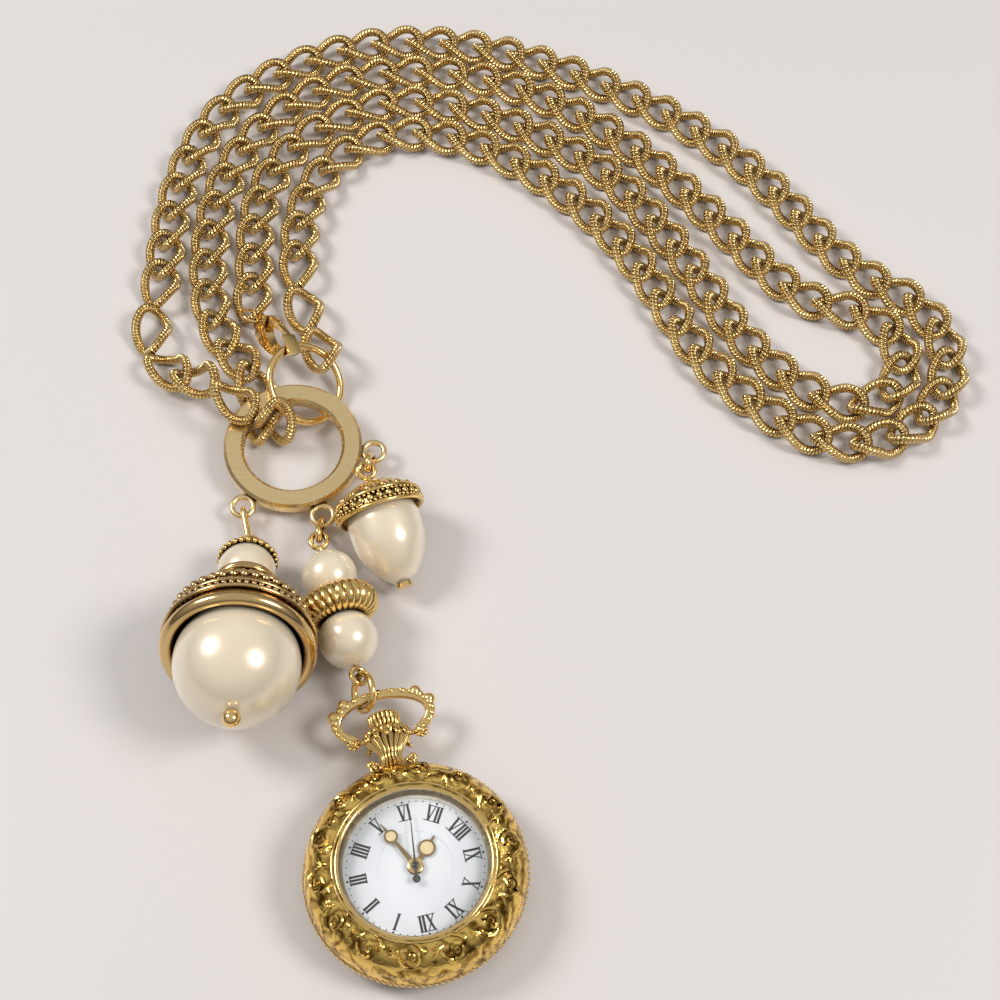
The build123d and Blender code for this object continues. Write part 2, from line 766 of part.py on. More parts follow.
# Bow: a flat oval band on two ball ends, whose pins turn in the neck
tilt = radians(bow_tilt)
bow_dir = pendant_dir * cos(tilt) + up_dir * sin(tilt)
bow_normal = up_dir * cos(tilt) - pendant_dir * sin(tilt)
bow_plane = Plane(origin=pendant_point(0, bow_pivot_y), x_dir=side_dir, z_dir=bow_normal)
bow_half_width = bow_outer_width / 2
with BuildPart() as bow:
    with BuildSketch(bow_plane.offset(-bow_band_height / 2)):
        with Locations((0, bow_middle_rise)):
            Ellipse(bow_half_width, bow_rise - bow_middle_rise)
            Ellipse(
                bow_half_width - bow_band, bow_rise - bow_middle_rise - bow_band, mode=Mode.SUBTRACT
            )
            Rectangle(
                2 * bow_end_gap, bow_rise, align=(Align.CENTER, Align.MAX), mode=Mode.SUBTRACT
            )
    extrude(amount=bow_band_height)
    fillet(bow.edges().filter_by(GeomType.ELLIPSE), bow_round)
    for side in (-1, 1):
        ball_centre = pendant_point(side * bow_pivot_x, bow_pivot_y)
        with Locations(Plane(origin=ball_centre, x_dir=-bow_dir, z_dir=side_dir * side)):
            Sphere(bow_ball_r)
        pin_start = pendant_point(side * bow_pin_reach, bow_pivot_y)
        with BuildSketch(Plane(origin=pin_start, z_dir=side_dir * side)):
            Circle(bow_pin_r)
        extrude(amount=bow_pivot_x - bow_pin_reach)
        for direction in bow_boss_directions:
            outward = side_dir * (side * cos(radians(direction))) + bow_dir * sin(radians(direction))
            across = side * bow_half_width * cos(radians(direction))
            rise = bow_middle_rise + (bow_rise - bow_middle_rise) * sin(radians(direction))
            boss_centre = bow_plane.origin + side_dir * across + bow_dir * rise
            with Locations(Plane(origin=boss_centre, x_dir=bow_normal, z_dir=outward)):
                Sphere(bow_boss_r)

# Carrier ring: a bevelled flat ring, a little tilted, with three eyelets in its own plane
ring_centre = Vector(ring_x, ring_y, ring_z)
ring_rise = Vector(*polar(1, ring_tilt_direction), 0)
ring_lean = radians(ring_tilt)
ring_normal = up_dir * cos(ring_lean) - ring_rise * sin(ring_lean)
ring_slope = ring_rise * cos(ring_lean) + up_dir * sin(ring_lean)
ring_plane = Plane(origin=ring_centre, x_dir=ring_slope, z_dir=ring_normal)
eyelet_r = (eyelet_d - eyelet_wire_d) / 2
eyelet_reach = (ring_d + eyelet_d) / 2 - eyelet_sink


def eyelet_centre(direction):
    across, along = polar(eyelet_reach, direction - ring_tilt_direction)
    return ring_centre + ring_plane.x_dir * across + ring_plane.y_dir * along


with BuildPart() as carrier_ring:
    with BuildSketch(ring_plane.offset(-ring_thickness / 2)):
        Circle(ring_d / 2)
        Circle(ring_bore_d / 2, mode=Mode.SUBTRACT)
    extrude(amount=ring_thickness)
    chamfer(carrier_ring.edges().filter_by(GeomType.CIRCLE), ring_bevel)
    for direction in (bell_eyelet_direction, bar_eyelet_direction, drop_eyelet_direction):
        with Locations(Plane(origin=eyelet_centre(direction), z_dir=ring_normal)):
            Torus(eyelet_r, eyelet_wire_d / 2)

# Clasp ring, interlinked with the carrier ring: its place is in shares of the link's width
clasp_ring_shares = (0.21, 1.64, 0.195)
clasp_ring_normal_shares = (0.51, -0.24, 0.77)
clasp_ring_centre = ring_centre + Vector(*clasp_ring_shares) * link_width
clasp_ring_normal = Vector(*clasp_ring_normal_shares).normalized()
clasp_ring_r = (clasp_ring_d - clasp_ring_wire_d) / 2
level_dir = clasp_ring_normal.cross(up_dir).normalized()
clasp_ring_plane = Plane(origin=clasp_ring_centre, x_dir=level_dir, z_dir=clasp_ring_normal)
with BuildPart() as clasp_ring:
    with Locations(clasp_ring_plane):
        Torus(clasp_ring_r, clasp_ring_wire_d / 2)

# Chain link: a saddle-shaped oval of round wire, made of eight arcs
half_length = (link_length - link_wire_d) / 2
half_width = (link_width - link_wire_d) / 2
link_pitch = link_length - 2 * link_wire_d - link_play
tip = Vector(half_length, 0, 0)
flank = Vector(0, half_width, 0)
tip_dir = Vector(0, cos(radians(link_end_lean)), sin(radians(link_end_lean)))
flank_dir = Vector(-cos(radians(link_side_slope)), 0, -sin(radians(link_side_slope)))
span = flank - tip
square_term = 2 * (1 - tip_dir.dot(flank_dir))
linear_term = 2 * span.dot(tip_dir + flank_dir)
reach = (sqrt(linear_term ** 2 + 4 * square_term * span.dot(span)) - linear_term) / (2 * square_term)
tip_knee = tip + tip_dir * reach
flank_knee = flank - flank_dir * reach
shoulder = (tip_knee + flank_knee) * 0.5


def arc_middle(start, knee, end):
    """The middle of the arc from start to end whose end tangents meet at knee."""
    middle = (start + end) * 0.5
    cosine = (end - start).length / (2 * (knee - start).length)
    return middle + (knee - middle) * (cosine / (1 + cosine))


with BuildPart() as link:
    with BuildLine() as quarter:
        ThreePointArc(tip, arc_middle(tip, tip_knee, shoulder), shoulder)
        ThreePointArc(shoulder, arc_middle(shoulder, flank_knee, flank), flank)
    with BuildLine() as whole:
        add(quarter.line)
        for axis in (Axis.X, Axis.Y, Axis.Z):
            add(quarter.line.rotate(axis, 180))
    for bend in whole.edges():
        with BuildSketch(Plane(origin=bend @ 0, z_dir=bend % 0)):
            Circle(link_wire_d / 2)
        sweep(path=bend)

# Routes of the two folded strands, from the carrier ring out to the far bend and back. Places
# are shares of the link's width from the carrier ring's centre; without a third share the chain
# lies on the table.
outer_route_shares = [
    (-1.69, 1.3, 1.04), (-2.4, 1.83, 0.67), (-3.11, 2.29, 0.38), (-3.68, 3.23), (-3.63, 4.03),
    (-3.52, 5.65), (-3.44, 7.1), (-3.1, 8.95), (-2.13, 10.79), (-0.56, 12.02), (1.21, 12.71),
    (3.08, 12.82), (4.97, 12.45), (6.68, 11.76), (8.48, 10.76), (10.11, 9.55), (11.44, 8.16),
    (12.53, 6.61), (13.81, 5.06), (14.82, 4.29), (15.42, 3.26), (15.4, 2), (14.69, 0.9),
    (13.6, 0.32), (12.35, 0.37), (11.27, 0.97), (10.26, 1.89), (9.4, 3.1), (8.73, 4.44),
    (8.03, 5.73), (7.19, 6.9), (6.21, 7.9), (4.82, 8.94), (3.11, 9.6), (1.79, 9.55),
    (0.61, 8.77), (-0.05, 7.5), (-0.21, 5.97), (-0.13, 4.5),
]
inner_route_shares = [
    (-1.475, 2.61, 0.355), (-2.13, 3.79), (-2.4, 5.32), (-2.39, 6.77), (-2.11, 8.31), (-1.27, 9.95),
    (0.1, 11.16), (1.71, 11.71), (3.4, 11.73), (5.16, 11.26), (6.92, 10.24), (8.42, 8.97),
    (9.63, 7.55), (10.79, 6.05), (11.66, 4.94), (12.5, 4.29), (13.47, 3.95), (14.24, 3.26),
    (14.35, 2.23), (13.69, 1.45), (12.66, 1.42), (11.66, 2.06), (10.87, 2.9), (10.23, 3.95),
    (9.63, 5.13), (8.97, 6.29), (8.24, 7.42), (7.35, 8.48), (6.27, 9.31), (4.65, 10.19),
    (3.08, 10.66), (1.79, 10.66), (0.58, 10.16), (-0.44, 9.26), (-1.1, 7.98), (-1.31, 6.61),
    (-1.27, 5.24), (-1.255, 4.405),
]
outer_fold_share = 0.56
inner_fold_share = 0.53

# Links that climb over and through the carrier ring, and the two that end at the clasp ring:
# the same shares of the link's width, then the turns about Z, Y and X in degrees
passage_shares = [
    (-1.015, 0.63, 1.1, -38, 20.5, -10),
    (-0.432, 0.529, 0.781, -81.5, 84, 182),
    (-0.787, 0.916, 0.316, 93, 7, -11),
    (-1.034, 1.794, 0.335, 112, -10, 16.5),
]
ending_shares = [
    (0.189, 3.581, 0.424, -72, -7, 0.5),
    (0.534, 2.727, 0.565, -76.5, -14.5, -1.5),
]


def route_places(shares):
    """Locations of the links along one route, evenly spaced."""
    points = []
    for share in shares:
        height = link_width * share[2] if len(share) > 2 else link_rest
        points.append((ring_x + link_width * share[0], ring_y + link_width * share[1], height))
    with BuildLine():
        route = Spline(*points)
    count = round(route.length / link_pitch)
    places = []
    for number in range(count + 1):
        share = number / count
        along = route % share
        upright = along.cross(up_dir.cross(along).normalized())
        places.append(Plane(origin=route @ share, x_dir=along, z_dir=upright).location)
    return places


def turned_place(share):
    """The location of one link that is turned about Z, then Y, then X."""
    x_share, y_share, z_share, about_z, about_y, about_x = share
    place = (ring_x + link_width * x_share, ring_y + link_width * y_share, link_width * z_share)
    turned = Location(place) * Location((0, 0, 0), (0, 0, about_z))
    return turned * Location((0, 0, 0), (0, about_y, 0)) * Location((0, 0, 0), (about_x, 0, 0))


def chain_part(places):
    with BuildPart() as chain:
        with Locations(*places):
            add(link.part)
    return chain


outer_places = route_places(outer_route_shares)
inner_places = route_places(inner_route_shares)
passage_places = [turned_place(share) for share in passage_shares]
ending_places = [turned_place(share) for share in ending_shares]
outer_fold = round(len(outer_places) * outer_fold_share)
inner_fold = round(len(inner_places) * inner_fold_share)
chain_outer_strand = chain_part(passage_places[:2] + outer_places[:outer_fold])
chain_inner_strand = chain_part(outer_places[outer_fold:] + ending_places)
chain_second_strand = chain_part(passage_places[2:] + inner_places[:inner_fold])
chain_third_strand = chain_part(inner_places[inner_fold:])

# Clasp: a hook whose mouth holds the clasp ring, a sprung gate on a pin, and a tail eye
hook_angle = radians(clasp_hook_direction)
hook_arm = clasp_ring_plane.x_dir * cos(hook_angle) + clasp_ring_plane.y_dir * sin(hook_angle)
hook_point = clasp_ring_centre + hook_arm * clasp_ring_r
clasp_run = cos(radians(clasp_rise))
clasp_dir = Vector(*polar(clasp_run, clasp_heading), sin(radians(clasp_rise)))
clasp_level = up_dir.cross(clasp_dir).normalized()
clasp_upright = clasp_dir.cross(clasp_level)
clasp_normal = -clasp_upright * cos(radians(clasp_lean)) + clasp_level * sin(radians(clasp_lean))
hook_s = clasp_window_end - clasp_ring_wire_d / 2 - 4 * clasp_gap
clasp_plane = Plane(origin=hook_point - clasp_dir * hook_s, x_dir=clasp_dir, z_dir=clasp_normal)
clasp_window_middle = (clasp_mouth_start + clasp_window_end) / 2
clasp_window_half = (clasp_window_end - clasp_mouth_start) / 2
clasp_tail = clasp_eye_r + clasp_eye_rim
clasp_pin_place = (clasp_pin_s, clasp_pin_t)
lever_swing_r = sqrt((clasp_mouth_start - clasp_pin_s) ** 2 + lever_boss_r ** 2) + 3 * clasp_gap


def clasp_outline():
    """The clasp's lens shape with its round tail, as a sketch."""
    with BuildSketch() as outline:
        with BuildLine():
            ThreePointArc(
                (clasp_eye_s, clasp_tail), (clasp_eye_s - clasp_tail, 0), (clasp_eye_s, -clasp_tail)
            )
            ThreePointArc(
                (clasp_eye_s, -clasp_tail), (clasp_length / 2, -clasp_width / 2), (clasp_length, 0)
            )
            ThreePointArc(
                (clasp_length, 0), (clasp_length / 2, clasp_width / 2), (clasp_eye_s, clasp_tail)
            )
        make_face()
        with Locations((clasp_window_middle, 0)):
            Ellipse(clasp_window_half, clasp_window_width / 2, mode=Mode.SUBTRACT)
    return outline.sketch


with BuildPart() as clasp_body:
    with BuildSketch(clasp_plane.offset(-clasp_thickness / 2)):
        add(clasp_outline())
        with Locations((clasp_mouth_start, 0)):
            Rectangle(
                clasp_mouth_end - clasp_mouth_start, clasp_width,
                align=(Align.MIN, Align.MAX), mode=Mode.SUBTRACT,
            )
        with Locations((clasp_eye_s, 0)):
            Circle(clasp_eye_r, mode=Mode.SUBTRACT)
        with Locations(clasp_pin_place):
            Circle(clasp_pin_r, mode=Mode.SUBTRACT)
    extrude(amount=clasp_thickness)
    with BuildSketch(clasp_plane.offset(-lever_thickness / 2 - clasp_gap / 2)):
        with Locations(clasp_pin_place):
            Circle(lever_swing_r)
    extrude(amount=lever_thickness + clasp_gap, mode=Mode.SUBTRACT)
    for side in (-1, 1):
        with BuildSketch(clasp_plane.offset(side * (clasp_tail_thickness + clasp_thickness) / 2)):
            with Locations((clasp_eye_s + clasp_tail, 0)):
                Rectangle(clasp_length, clasp_width, align=(Align.MAX, Align.CENTER))
        extrude(amount=clasp_thickness / 2, both=True, mode=Mode.SUBTRACT)

with BuildPart() as clasp_lever:
    with BuildSketch(clasp_plane.offset(-lever_thickness / 2)):
        add(clasp_outline())
        with Locations((clasp_pin_s, clasp_pin_t + lever_boss_r)):
            Rectangle(
                clasp_mouth_end - clasp_gap - clasp_pin_s, clasp_width,
                align=(Align.MIN, Align.MAX), mode=Mode.INTERSECT,
            )
        with Locations(clasp_pin_place):
            Circle(lever_boss_r)
        with Locations((clasp_mouth_start + nub_r, clasp_pin_t * 2)):
            Circle(nub_r)
        with Locations(clasp_pin_place):
            Circle(clasp_pin_r + fit_clearance, mode=Mode.SUBTRACT)
    extrude(amount=lever_thickness)

with BuildPart() as clasp_pin:
    with BuildSketch(clasp_plane.offset(-clasp_thickness / 2)):
        with Locations(clasp_pin_place):
            Circle(clasp_pin_r)
    extrude(amount=clasp_thickness)

# Jump ring between the clasp's tail eye and the last link of the inner strands
clasp_jump_r = (clasp_jump_d - clasp_jump_wire_d) / 2
clasp_eye = clasp_plane.origin + clasp_dir * clasp_eye_s
clasp_jump_normal_shares = (0.342, 0.465, 0.817)
clasp_jump_arm_shares = (-0.499, 0.826, -0.261)
clasp_jump_normal = Vector(*clasp_jump_normal_shares).normalized()
jump_arm = Vector(*clasp_jump_arm_shares)
jump_dir = (jump_arm - clasp_jump_normal * jump_arm.dot(clasp_jump_normal)).normalized()
with BuildPart() as clasp_jump_ring:
    with Locations(Plane(origin=clasp_eye + jump_dir * clasp_jump_r, z_dir=clasp_jump_normal)):
        Torus(clasp_jump_r, clasp_jump_wire_d / 2)

# Charm links: straight-sided ovals of round wire between two wires that they turn about
charm_link_r = eyelet_wire_d / 2 + charm_play + charm_wire_d / 2
pin_loop_r = (pin_loop_d - pin_loop_wire_d) / 2


def charm_link(start, end):
    """A link standing on edge whose round ends are centred on two points."""
    run = end - start
    sideways = up_dir.cross(run).normalized()
    with BuildPart() as piece:
        with BuildLine(Plane(origin=start, x_dir=run.normalized(), z_dir=sideways)) as path:
            Line((0, charm_link_r), (run.length, charm_link_r))
            ThreePointArc(
                (run.length, charm_link_r), (run.length + charm_link_r, 0), (run.length, -charm_link_r)
            )
            Line((run.length, -charm_link_r), (0, -charm_link_r))
            ThreePointArc((0, -charm_link_r), (-charm_link_r, 0), (0, charm_link_r))
        for bend in path.edges():
            with BuildSketch(Plane(origin=bend @ 0, z_dir=bend % 0)) as section:
                Circle(charm_wire_d / 2)
            sweep(section.sketch, path=bend)
    return piece


def towards(start, end, distance):
    """The point at a distance from start on the way to end."""
    return start + (end - start).normalized() * distance


def wire_point(centre, normal, radius, other):
    """The point of a flat wire loop's centre line that lies nearest to another loop."""
    arm = other - centre
    return towards(centre, other - normal * arm.dot(normal), radius)


def loop_link(direction, loop, loop_frame):
    """The link from the eyelet in a direction to a charm's loop, and where it turns."""
    centre = eyelet_centre(direction)
    start = wire_point(centre, ring_normal, eyelet_r, loop)
    end = wire_point(loop, loop_frame.y_dir, pin_loop_r, start)
    return charm_link(start, end), start, end


def charm_frame(origin, heading, rise):
    """A plane whose x runs along a charm and whose z is level across it."""
    run = cos(radians(rise))
    along = Vector(*polar(run, heading), sin(radians(rise)))
    return Plane(origin=origin, x_dir=along, z_dir=along.cross(up_dir).normalized())


def along_charm(frame, distance):
    return frame.origin + frame.x_dir * distance


def charm_section(frame, distance):
    """The plane square to a charm at a distance from its loop."""
    return Plane(origin=along_charm(frame, distance), x_dir=frame.z_dir, z_dir=frame.x_dir)


# Bell charm: loop, capped bead, bell and a large pearl on one pin; the bead's cap touches the
# table and the bell's rim is close above it, which sets the tilt
bell_rim_r = bell_mouth_d / 2 - bell_rim_d / 2
bead_r = bell_bead_d / 2
rim_share = (bead_r - bell_rim_d / 2) / sqrt(bell_rim_r ** 2 + bell_rim_s ** 2)
bell_tilt = degrees(acos(rim_share) - atan2(bell_rim_s, bell_rim_r))
bead_s = pin_loop_d / 2 + bell_bead_cap_thickness + bead_r + bell_loop_gap
bead_height = bead_r + bell_bead_cap_thickness
bell_loop = Vector(
    ring_x + bell_loop_x, ring_y + bell_loop_y, bead_height - bead_s * sin(radians(bell_tilt))
)
bell_frame = charm_frame(bell_loop, bell_heading, bell_tilt)
bell_link, bell_link_start, bell_link_end = loop_link(bell_eyelet_direction, bell_loop, bell_frame)
bell_axis = Axis(bell_loop, bell_frame.x_dir)

with BuildPart() as bell_bead:
    with Locations(along_charm(bell_frame, bead_s)):
        Sphere(bead_r)
    with BuildSketch(charm_section(bell_frame, bead_s - bell_bead_d)):
        Circle(pin_d / 2 + pearl_play)
    extrude(amount=2 * bell_bead_d, mode=Mode.SUBTRACT)

cap_angle = atan2(bell_bead_cap_d / 2, sqrt(bead_r ** 2 - (bell_bead_cap_d / 2) ** 2))
with BuildPart() as bell_bead_cap:
    with BuildSketch(bell_frame):
        with Locations((bead_s, 0)):
            Circle(bead_r + bell_bead_cap_thickness)
            Circle(bead_r, mode=Mode.SUBTRACT)
        with Locations((bead_s - bead_r * cos(cap_angle), 0)):
            Rectangle(bell_bead_d, 2 * bell_bead_d, align=(Align.MAX, Align.CENTER), mode=Mode.INTERSECT)
        with Locations((0, pin_d / 2 + pearl_play)):
            Rectangle(bell_bead_d, bell_bead_d, align=(Align.MIN, Align.MIN), mode=Mode.INTERSECT)
    revolve(axis=bell_axis)

# Shares of the rim's distance and radius for the shoulder of the bell
bell_shoulder_shares = [(0.2, 0.33), (0.27, 0.37), (0.45, 0.58), (0.65, 0.82), (0.86, 0.95), (1, 0.97)]
bell_outside = [
    (bead_s + bell_rim_s * share[0], bell_rim_r * share[1] + bell_wall) for share in bell_shoulder_shares
]
bell_inside = [
    (bead_s + bell_rim_s * share[0], bell_rim_r * share[1]) for share in bell_shoulder_shares
]
with BuildPart() as bell_cap:
    with BuildSketch(bell_frame):
        with BuildLine():
            Spline(*bell_outside)
            Line(bell_outside[-1], bell_inside[-1])
            Spline(*bell_inside)
            Line(bell_inside[0], bell_outside[0])
        make_face()
        with Locations((bead_s + bell_rim_s, bell_rim_r)):
            Circle(bell_rim_d / 2)
    revolve(axis=bell_axis)
    window_s = bead_s + bell_rim_s * bell_window_share
    for number in range(bell_windows):
        angle = 2 * pi * number / bell_windows
        outwards = bell_frame.y_dir * cos(angle) + bell_frame.z_dir * sin(angle)
        centre = along_charm(bell_frame, window_s)
        with BuildSketch(Plane(origin=centre, x_dir=bell_frame.x_dir, z_dir=outwards)):
            Ellipse(bell_window_length / 2, bell_window_width / 2)
        extrude(amount=bell_mouth_d / 2, mode=Mode.SUBTRACT)

bell_pearl_at = bead_s + bell_pearl_s
with BuildPart() as bell_pearl:
    with Locations(along_charm(bell_frame, bell_pearl_at)):
        Sphere(bell_pearl_d / 2)
    with BuildSketch(charm_section(bell_frame, bell_pearl_at - bell_pearl_d)):
        Circle(pin_d / 2 + pearl_play)
    extrude(amount=2 * bell_pearl_d, mode=Mode.SUBTRACT)

bell_pin_end = bell_pearl_at + bell_pearl_d / 2 + pin_end_d / 2
with BuildPart() as bell_pin:
    with Locations(Plane(origin=bell_loop, z_dir=bell_frame.y_dir)):
        Torus(pin_loop_r, pin_loop_wire_d / 2)
    with BuildSketch(charm_section(bell_frame, pin_loop_r)):
        Circle(pin_d / 2)
    extrude(amount=bell_pin_end - pin_loop_r)
    with Locations(along_charm(bell_frame, bell_pin_end)):
        Sphere(pin_end_d / 2)

# Drop charm: loop, cap and a long pearl with a small end disc; the cap's rim is on the table
drop_rim_s = drop_loop_to_cap + drop_cap_depth
drop_loop = Vector(
    ring_x + drop_loop_x,
    ring_y + drop_loop_y,
    drop_cap_d / 2 * cos(radians(drop_tilt)) + drop_rim_s * sin(radians(drop_tilt)),
)
drop_frame = charm_frame(drop_loop, drop_heading, -drop_tilt)
drop_axis = Axis(drop_loop, drop_frame.x_dir)
drop_link, drop_link_start, drop_link_end = loop_link(drop_eyelet_direction, drop_loop, drop_frame)
drop_inner_r = drop_cap_d / 2 - drop_cap_wall


def dome_points(depth, rim_r):
    """A dome's rim, a place half way up it and its top, in the drop charm's section."""
    half = cos(radians(drop_dome_direction))
    return (drop_rim_s, rim_r), (drop_rim_s - depth * half, rim_r * half), (drop_rim_s - depth, 0)


drop_outer = dome_points(drop_cap_depth, drop_cap_d / 2)
drop_inner = dome_points(drop_cap_depth - drop_cap_wall, drop_inner_r)
with BuildPart() as drop_cap:
    with BuildSketch(drop_frame):
        with BuildLine():
            ThreePointArc(*drop_outer)
            ThreePointArc(*drop_inner)
            Line(drop_outer[0], drop_inner[0])
            Line(drop_outer[-1], drop_inner[-1])
        make_face()
        with Locations((drop_rim_s, pin_d / 2 + pearl_play)):
            Rectangle(drop_rim_s, drop_cap_d, align=(Align.MAX, Align.MIN), mode=Mode.INTERSECT)
    revolve(axis=drop_axis)

drop_pearl_r = drop_pearl_d / 2
drop_back_s = drop_rim_s - drop_cap_depth + drop_cap_wall + charm_play
drop_widest_s = drop_back_s + drop_pearl_r
drop_tip_s = drop_back_s + drop_pearl_length
drop_taper = drop_tip_s - drop_widest_s
drop_taper_shares = [(0.12, 0.46), (0.45, 0.85)]
drop_taper_points = [
    (drop_tip_s - drop_taper * share[0], drop_pearl_r * share[1]) for share in drop_taper_shares
]
with BuildPart() as drop_pearl:
    with BuildSketch(drop_frame):
        with BuildLine():
            Line((drop_tip_s, pin_d / 2 + pearl_play), (drop_tip_s, drop_disc_d / 4))
            Spline(
                (drop_tip_s, drop_disc_d / 4),
                *drop_taper_points,
                (drop_widest_s, drop_pearl_r),
                tangents=((-1, 2), (-1, 0)),
            )
            TangentArc(
                (drop_widest_s, drop_pearl_r), (drop_back_s, pin_d / 2 + pearl_play), tangent=(-1, 0)
            )
            Line((drop_back_s, pin_d / 2 + pearl_play), (drop_tip_s, pin_d / 2 + pearl_play))
        make_face()
    revolve(axis=drop_axis)

with BuildPart() as drop_pin:
    with Locations(Plane(origin=drop_loop, z_dir=drop_frame.y_dir)):
        Torus(pin_loop_r, pin_loop_wire_d / 2)
    with BuildSketch(charm_section(drop_frame, pin_loop_r)):
        Circle(pin_d / 2)
    extrude(amount=drop_tip_s + drop_disc_thickness - pin_loop_r)
    with BuildSketch(charm_section(drop_frame, drop_tip_s)):
        Circle(drop_disc_d / 2)
    extrude(amount=drop_disc_thickness)

# Jump ring of the watch: it passes under the bow's band, over it and through the bar's loop
watch_jump_r = (watch_jump_d - watch_jump_wire_d) / 2
inner_rise = bow_rise - bow_middle_rise - bow_band
inner_share = watch_jump_x / (bow_half_width - bow_band)
band_inside = bow_middle_rise + inner_rise * sqrt(1 - inner_share ** 2)
jump_seat = band_inside - watch_jump_gap - watch_jump_wire_d / 2
jump_low = bow_plane.origin + side_dir * watch_jump_x + bow_dir * jump_seat
jump_along = Vector(*polar(1, watch_jump_heading), 0)
jump_across = jump_along.cross(up_dir)
jump_wire = jump_across * cos(radians(watch_jump_lean)) + up_dir * sin(radians(watch_jump_lean))
jump_centre = jump_low + jump_along * watch_jump_r
jump_high = jump_centre + jump_along * watch_jump_r
with BuildPart() as watch_jump_ring:
    with Locations(Plane(origin=jump_centre, z_dir=jump_wire.cross(jump_along))):
        Torus(watch_jump_r, watch_jump_wire_d / 2)

# Bar charm: two pearls and a ribbed rondelle on a pin with a loop at each end
bar_loop = Vector(ring_x + bar_loop_x, ring_y + bar_loop_y, rondelle_d / 2)
bar_run = jump_high - bar_loop
bar_dir = bar_run.normalized()
bar_level = bar_dir.cross(up_dir).normalized()
bar_frame = Plane(origin=bar_loop, x_dir=bar_dir, z_dir=bar_level)
bar_link, bar_link_start, bar_link_end = loop_link(bar_eyelet_direction, bar_loop, bar_frame)
rondelle_s = bar_run.length / 2
band_r = rondelle_band_d / 2
pearl_reach = rondelle_web / 2
upper_pearl_s = rondelle_s - pearl_reach - bar_upper_pearl_d / 2
lower_pearl_s = rondelle_s + pearl_reach + bar_lower_pearl_d / 2
with BuildPart() as bar_upper_pearl:
    with Locations(along_charm(bar_frame, upper_pearl_s)):
        Sphere(bar_upper_pearl_d / 2)
    with BuildSketch(charm_section(bar_frame, upper_pearl_s - bar_upper_pearl_d)):
        Circle(pin_d / 2 + pearl_play)
    extrude(amount=2 * bar_upper_pearl_d, mode=Mode.SUBTRACT)

with BuildPart() as bar_lower_pearl:
    with Locations(along_charm(bar_frame, lower_pearl_s)):
        Sphere(bar_lower_pearl_d / 2)
    with BuildSketch(charm_section(bar_frame, lower_pearl_s - bar_lower_pearl_d)):
        Circle(pin_d / 2 + pearl_play)
    extrude(amount=2 * bar_lower_pearl_d, mode=Mode.SUBTRACT)

with BuildPart() as bar_rondelle:
    with Locations(charm_section(bar_frame, rondelle_s)):
        Torus(rondelle_d / 2 - band_r, band_r)
    with BuildSketch(charm_section(bar_frame, rondelle_s - rondelle_web / 2)):
        Circle(rondelle_d / 2 - band_r)
    extrude(amount=rondelle_web)
    with BuildSketch(charm_section(bar_frame, rondelle_s - rondelle_d)):
        Circle(pin_d / 2 + pearl_play)
    extrude(amount=2 * rondelle_d, mode=Mode.SUBTRACT)
    for pearl_s, pearl_d in ((upper_pearl_s, bar_upper_pearl_d), (lower_pearl_s, bar_lower_pearl_d)):
        with Locations(along_charm(bar_frame, pearl_s)):
            Sphere(pearl_d / 2 + pearl_play, mode=Mode.SUBTRACT)

with BuildPart() as bar_pin:
    with Locations(Plane(origin=bar_loop, z_dir=bar_frame.y_dir)):
        Torus(pin_loop_r, pin_loop_wire_d / 2)
    with BuildSketch(charm_section(bar_frame, pin_loop_r)):
        Circle(pin_d / 2)
    extrude(amount=bar_run.length - 2 * pin_loop_r)
    with Locations(Plane(origin=jump_high, z_dir=jump_wire)):
        Torus(pin_loop_r, pin_loop_wire_d / 2)

os.makedirs("parts", exist_ok=True)
pieces = {
    "chain_outer_strand": chain_outer_strand,
    "chain_second_strand": chain_second_strand,
    "chain_third_strand": chain_third_strand,
    "chain_inner_strand": chain_inner_strand,
    "carrier_ring": carrier_ring,
    "clasp_ring": clasp_ring,
    "clasp_jump_ring": clasp_jump_ring,
    "clasp_body": clasp_body,
    "clasp_lever": clasp_lever,
    "clasp_pin": clasp_pin,
    "bell_link": bell_link,
    "bell_pin": bell_pin,
    "bell_bead_cap": bell_bead_cap,
    "bell_bead": bell_bead,
    "bell_cap": bell_cap,
    "bell_pearl": bell_pearl,
    "drop_link": drop_link,
    "drop_pin": drop_pin,
    "drop_cap": drop_cap,
    "drop_pearl": drop_pearl,
    "bar_link": bar_link,
    "bar_pin": bar_pin,
    "bar_upper_pearl": bar_upper_pearl,
    "bar_rondelle": bar_rondelle,
    "bar_lower_pearl": bar_lower_pearl,
    "watch_jump_ring": watch_jump_ring,
    "bow": bow,
    "neck": neck,
    "case_middle": case_middle,
    "bezel": bezel,
    "case_back": case_back,
    "back_gasket": back_gasket,
    "crystal": crystal,
    "crystal_gasket": crystal_gasket,
    "rehaut_ring": rehaut_ring,
    "dial": dial,
    "movement_ring": movement_ring,
    "main_plate": main_plate,
    "train_bridge": train_bridge,
    "circuit_board": circuit_board,
    "quartz_can": quartz_can,
    "coil": coil,
    "stator": stator,
    "battery": battery,
    "battery_clamp": battery_clamp,
    "movement_screws": movement_screws,
    "rotor": rotor,
    "step_wheel": step_wheel,
    "seconds_wheel": seconds_wheel,
    "third_wheel": third_wheel,
    "centre_wheel": centre_wheel,
    "minute_wheel": minute_wheel,
    "hour_wheel": hour_wheel,
    "hour_hand": hour_hand,
    "minute_hand": minute_hand,
    "seconds_hand": seconds_hand,
    "setting_lever": setting_lever,
    "stem": stem,
    "crown": crown,
}
for node, piece in pieces.items():
    piece.part.label = node
    export_step(piece.part, f"parts/{node}.step")
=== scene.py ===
import bpy
import bmesh
from math import atan2, cos, pi, radians, sin, sqrt
import numpy as np
from mathutils import Matrix, Vector


